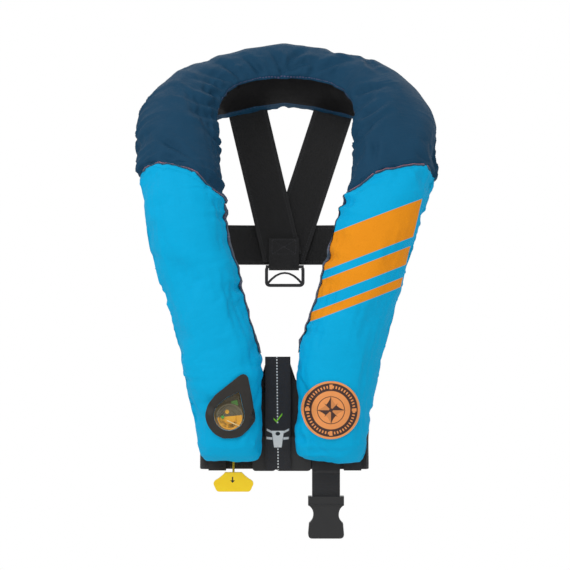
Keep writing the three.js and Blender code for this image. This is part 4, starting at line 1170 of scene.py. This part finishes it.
def flapPaint():  # webbing with a reflective dashed thread, and a plain sign: a closed buckle with a tick
    paint = Finish("flapWebbing", "#2b2b2f", 0.8, sheen_weight=0.15)
    x, y, z = paint.split(paint.place)
    u, v = x - flap["x"] * mm, z - flap["sign"] * mm
    chevron = ((z + u.repeat(0.006) * 1.6) * 5400).sin()
    rib = (z * 3900).sin()
    cloth = paint.mix(chevron.above(0, 0.7) * 0.4 + paint.noise(paint.place, 60) * 0.4,
                      hexColor("#17171a"), hexColor("#303036"))
    lean = u + (z + 0.40) * 0.012 + 0.0004
    front = y.below(-0.1425, 0.0002)
    dash = (z * (2 * math.pi / (flap["dashPitch"] * mm))).sin().above(-0.15, 0.25)
    away = v.abs().above(0.0135, 0.0003)
    line = lean.abs().below(flap["dashWidth"] / 2 * mm, 0.00015) * dash * away
    buckle = (v + 0.0040).abs().below(0.0095, 0.0002) * (u.abs() - v * 0.14).below(0.0062, 0.0002)
    hole = (u * u + (v - 0.0022) * (v - 0.0022) * 1.4).math("SQRT").below(0.0026, 0.0002)
    straps = (v - u.abs() * 0.5 - 0.0005).abs().below(0.0013, 0.0002).most(
        (v - u.abs() * 0.1 + 0.0040).abs().below(0.0014, 0.0002)) * u.abs().between(0.0062, 0.0138, 0.0002)
    tickShort = (v - 0.0160 + (u + 0.0014)).abs().below(0.0009, 0.0002)
    tickShort = tickShort * u.between(-0.0048, -0.0012, 0.0002)
    tickLong = (v - 0.0160 - (u + 0.0014) * 1.35).abs().below(0.0012, 0.0002)
    tickLong = tickLong * u.between(-0.0018, 0.0050, 0.0002)
    white = mottled(paint, hexColor("#eceeee"), paint.place, 200, 0.06)
    color = paint.mix(line * front, cloth, white)
    color = paint.mix(straps * front * 0.85, color, white)
    color = paint.mix(buckle * (1 - hole) * front, color, white)
    color = paint.mix(tickShort.most(tickLong) * front, color, hexColor("#8be02a"))
    paint.set("Base Color", color)
    paint.set("Roughness", paint.noise(paint.place, 120) * 0.15 + 0.68)
    paint.bump(chevron * 0.35 + rib * 0.25 + line * 0.6 + buckle * 0.5, 0.0005, 0.8)
    return paint.material


def makeFlap():
    height, depth = flap["top"] - flap["foot"], flap["back"] - flap["front"]
    middle = (flap["x"], (flap["front"] + flap["back"]) / 2, (flap["top"] + flap["foot"]) / 2)
    bpy.ops.mesh.primitive_cube_add(size=1, location=[c * mm for c in middle])
    bpy.context.active_object.scale = (flap["width"] * mm, depth * mm, height * mm)
    strip = named("buckleFlap")
    bpy.ops.object.mode_set(mode="EDIT")
    bpy.ops.mesh.select_all(action="SELECT")
    bpy.ops.mesh.subdivide(number_cuts=9)
    bpy.ops.object.mode_set(mode="OBJECT")
    points = coordinates(strip)
    for i, (x, y, z) in enumerate(points):
        u = (x - flap["x"] * mm) / (flap["width"] / 2 * mm)
        front = y < (flap["front"] + 1) * mm
        ripple = noise.noise(Vector((x * 30, 0.4, z * 26))) * 0.7 * mm
        edge = 0.9 * mm * max(0, abs(u) - 0.8) / 0.2
        points[i][1] += (edge + abs(ripple)) if front else 0
        points[i][0] += noise.noise(Vector((0.2, z * 22, 2.0))) * 0.5 * mm
    setCoordinates(strip, points)
    modified(strip, "BEVEL", width=0.7 * mm, segments=3, limit_method="ANGLE", angle_limit=math.radians(55))
    finished(smoothed(strip, 50), flapPaint(), "flap", "webbing", "buckle_flap")
    print("flap made")


def dressHardware(black, yellow, green):
    steel = metalPaint("steel", "#9a9c9e", 0.34)
    ringMetal = metalPaint("ringMetal", "#4e4e50", 0.38)
    for name in ("inflator_body", "manifold_flange", "firing_lever", "oral_tube"):
        dressNode(name, black, 0.4)
    for name in ("buckle_socket", "buckle_plug", "crotch_socket"):
        dressNode(name, black, 0.9)
    for name in ("sensing_cap", "oral_cap", "whistle"):
        dressNode(name, yellow, 0.6)
    dressNode("status_indicator", green, 0.4)
    dressNode("gas_cylinder", steel, 0.3)
    dressNode("lever_pin", steel, 0.2)
    dressNode("back_ring", ringMetal, 0.7)
    dressNode("pull_tab", tabPaint(), 0.8)
    print("hardware dressed")


frontPanel = {  # millimetres
    "foot": -431,  # down behind the belt's edge
    "slopeFrom": 13,  # beside the flap its top slopes down, this far from the flap's middle
    "slopeOver": 4,
    "slope": 0.3,  # part of the height
}


def makeFrontPanel():
    panel = copyOf("front_panel", "frontPanel")
    points = coordinates(panel)
    points[points[:, 2] < -0.42, 2] = frontPanel["foot"] * mm
    setCoordinates(panel, points)
    modified(panel, "SUBSURF", levels=4, render_levels=4, subdivision_type="SIMPLE")
    points = coordinates(panel)
    away = np.abs(points[:, 0] - flap["x"] * mm) / mm
    beside = np.clip((away - frontPanel["slopeFrom"]) / frontPanel["slopeOver"], 0, 1)
    points[:, 2] -= np.clip(points[:, 2] + 0.43, 0, 1) * frontPanel["slope"] * beside
    setCoordinates(panel, points)
    cloth = Finish("panelFabric", "#242325", 0.85, sheen_weight=0.1)
    x, _, z = cloth.split(cloth.place)
    weave = (x * 4200).sin() * (z * 4200).sin()
    cloth.set("Base Color", cloth.mix(weave.above(0, 0.6) * 0.5, hexColor("#1d1c1e"), hexColor("#333236")))
    cloth.bump(weave * 0.3 + cloth.noise(cloth.place, 60), 0.0006)
    finished(panel, cloth.material, "jacket", "lining", "front_panel")
    print("front panel made")


socketRidge = {"at": (47.6, -141.2, -508.5), "size": (40.4, 1.5, 1.7)}  # millimetres


def makeSocketRidge(black):  # the bar across the mouth end of the crotch strap's socket
    bpy.ops.mesh.primitive_cube_add(size=1, location=[c * mm for c in socketRidge["at"]])
    bpy.context.active_object.scale = [s * mm for s in socketRidge["size"]]
    ridge = modified(named("socketRidge"), "BEVEL", width=0.6 * mm, segments=3)
    finished(smoothed(ridge, 50), black, "crotch_buckle", "black_plastic")


inflatorFace = {  # millimetres: what the window shows of the inflator
    "x": -61.5,
    "z": -405.5,
    "radius": 15.2,
    "steps": ((1.4, 0.0), (0.8, -1.0), (5.5, 0.0), (0.8, 0.8)),  # each inset and how far it then rises
    "rim": 14.6,
    "rimThick": 0.7,
}


def inflatorFacePaint():  # yellow below, grey moulded grid above
    paint = Finish("inflatorFace", "#ffbc1f", 0.4)
    x, _, z = paint.split(paint.place)
    u, v = x - inflatorFace["x"] * mm, z - inflatorFace["z"] * mm
    upper = (v - u * 0.1).above(0.001, 0.0003)
    grid = ((u * 1900).sin() * (v * 1900).sin()).above(0.15, 0.2)
    spots = ((u + 0.003) * (u + 0.003) + (v - 0.006) * (v - 0.006)).below(0.0000055, 0.000001)
    grey = paint.mix(grid, hexColor("#33312a"), hexColor("#77725a"))
    yellow = mottled(paint, hexColor("#ffb414"), paint.place, 120, 0.15)
    color = paint.mix(upper * (1 - spots), yellow, grey)
    paint.set("Base Color", color)
    paint.set("Roughness", paint.noise(paint.place, 300) * 0.15 + 0.33)
    paint.bump(grid * upper * 0.6 + paint.noise(paint.place, 900), 0.0003)
    return paint.material


def makeInflatorFace(green):
    x, z = inflatorFace["x"] * mm, inflatorFace["z"] * mm
    upright = (math.radians(90), 0, 0)
    bpy.ops.mesh.primitive_cylinder_add(vertices=48, radius=inflatorFace["radius"] * mm, depth=5 * mm,
                                        location=(x, -0.1735, z), rotation=upright)
    cap = named("inflatorFace")
    selectFaces(cap, lambda centre, normal: normal.y < -0.9)
    for inset, rise in inflatorFace["steps"]:
        bpy.ops.mesh.inset(thickness=inset * mm)
        bpy.ops.transform.translate(value=(0, -rise * mm, 0))
    bpy.ops.object.mode_set(mode="OBJECT")
    modified(cap, "BEVEL", width=0.4 * mm, segments=2, limit_method="ANGLE", angle_limit=math.radians(35))
    finished(smoothed(cap, 40), inflatorFacePaint(), "jacket", "yellow_plastic")
    bpy.ops.mesh.primitive_torus_add(location=(x, -0.1764, z), rotation=upright,
                                     major_radius=inflatorFace["rim"] * mm,
                                     minor_radius=inflatorFace["rimThick"] * mm,
                                     major_segments=56, minor_segments=8)
    grey = plasticPaint("greyPlastic", "#6d6b60", 0.45)
    finished(smoothed(named("inflatorRim"), 60), grey, "jacket", "black_plastic")
    bpy.ops.mesh.primitive_cube_add(size=1, location=(x + 5.5 * mm, -0.1772, z - 7.5 * mm),
                                    rotation=(0, math.radians(24), 0))
    bpy.context.active_object.scale = (19 * mm, 1.2 * mm, 1.3 * mm)
    bar = modified(named("inflatorBar"), "BEVEL", width=0.4 * mm, segments=2)
    finished(smoothed(bar, 40), plasticPaint("paleBar", "#f6dfa0", 0.35), "jacket", "yellow_plastic")
    bpy.ops.mesh.primitive_uv_sphere_add(segments=20, ring_count=12, radius=2 * mm,
                                         location=(x - 8 * mm, -0.1765, z))
    finished(smoothed(named("readyMark"), 80), green, "jacket", "green_plastic")
    print("inflator face made")


setUpStudio()
makeLanyard()
body = makeHorseshoe()
body.data.materials.append(coverPaint())
surface = coverSurface(body)
makePiping(body)
makeWindow(surface)
makeBadge(surface)
cutWell(body)
smoothed(body, 60)
finished(body, None, "jacket", "lobe_fabric", *coverNodes, *liningNodes, "air_bladder",
         "right_hem_closure", "left_hem_closure")
makeWebbing()
makeFlap()
blackPlastic = plasticPaint("blackPlastic", "#272728", 0.45)
greenPlastic = plasticPaint("greenPlastic", "#39a845", 0.4)
dressHardware(blackPlastic, plasticPaint("yellowPlastic", "#f0b416", 0.4), greenPlastic)
makeFrontPanel()
makeSocketRidge(blackPlastic)
makeInflatorFace(greenPlastic)
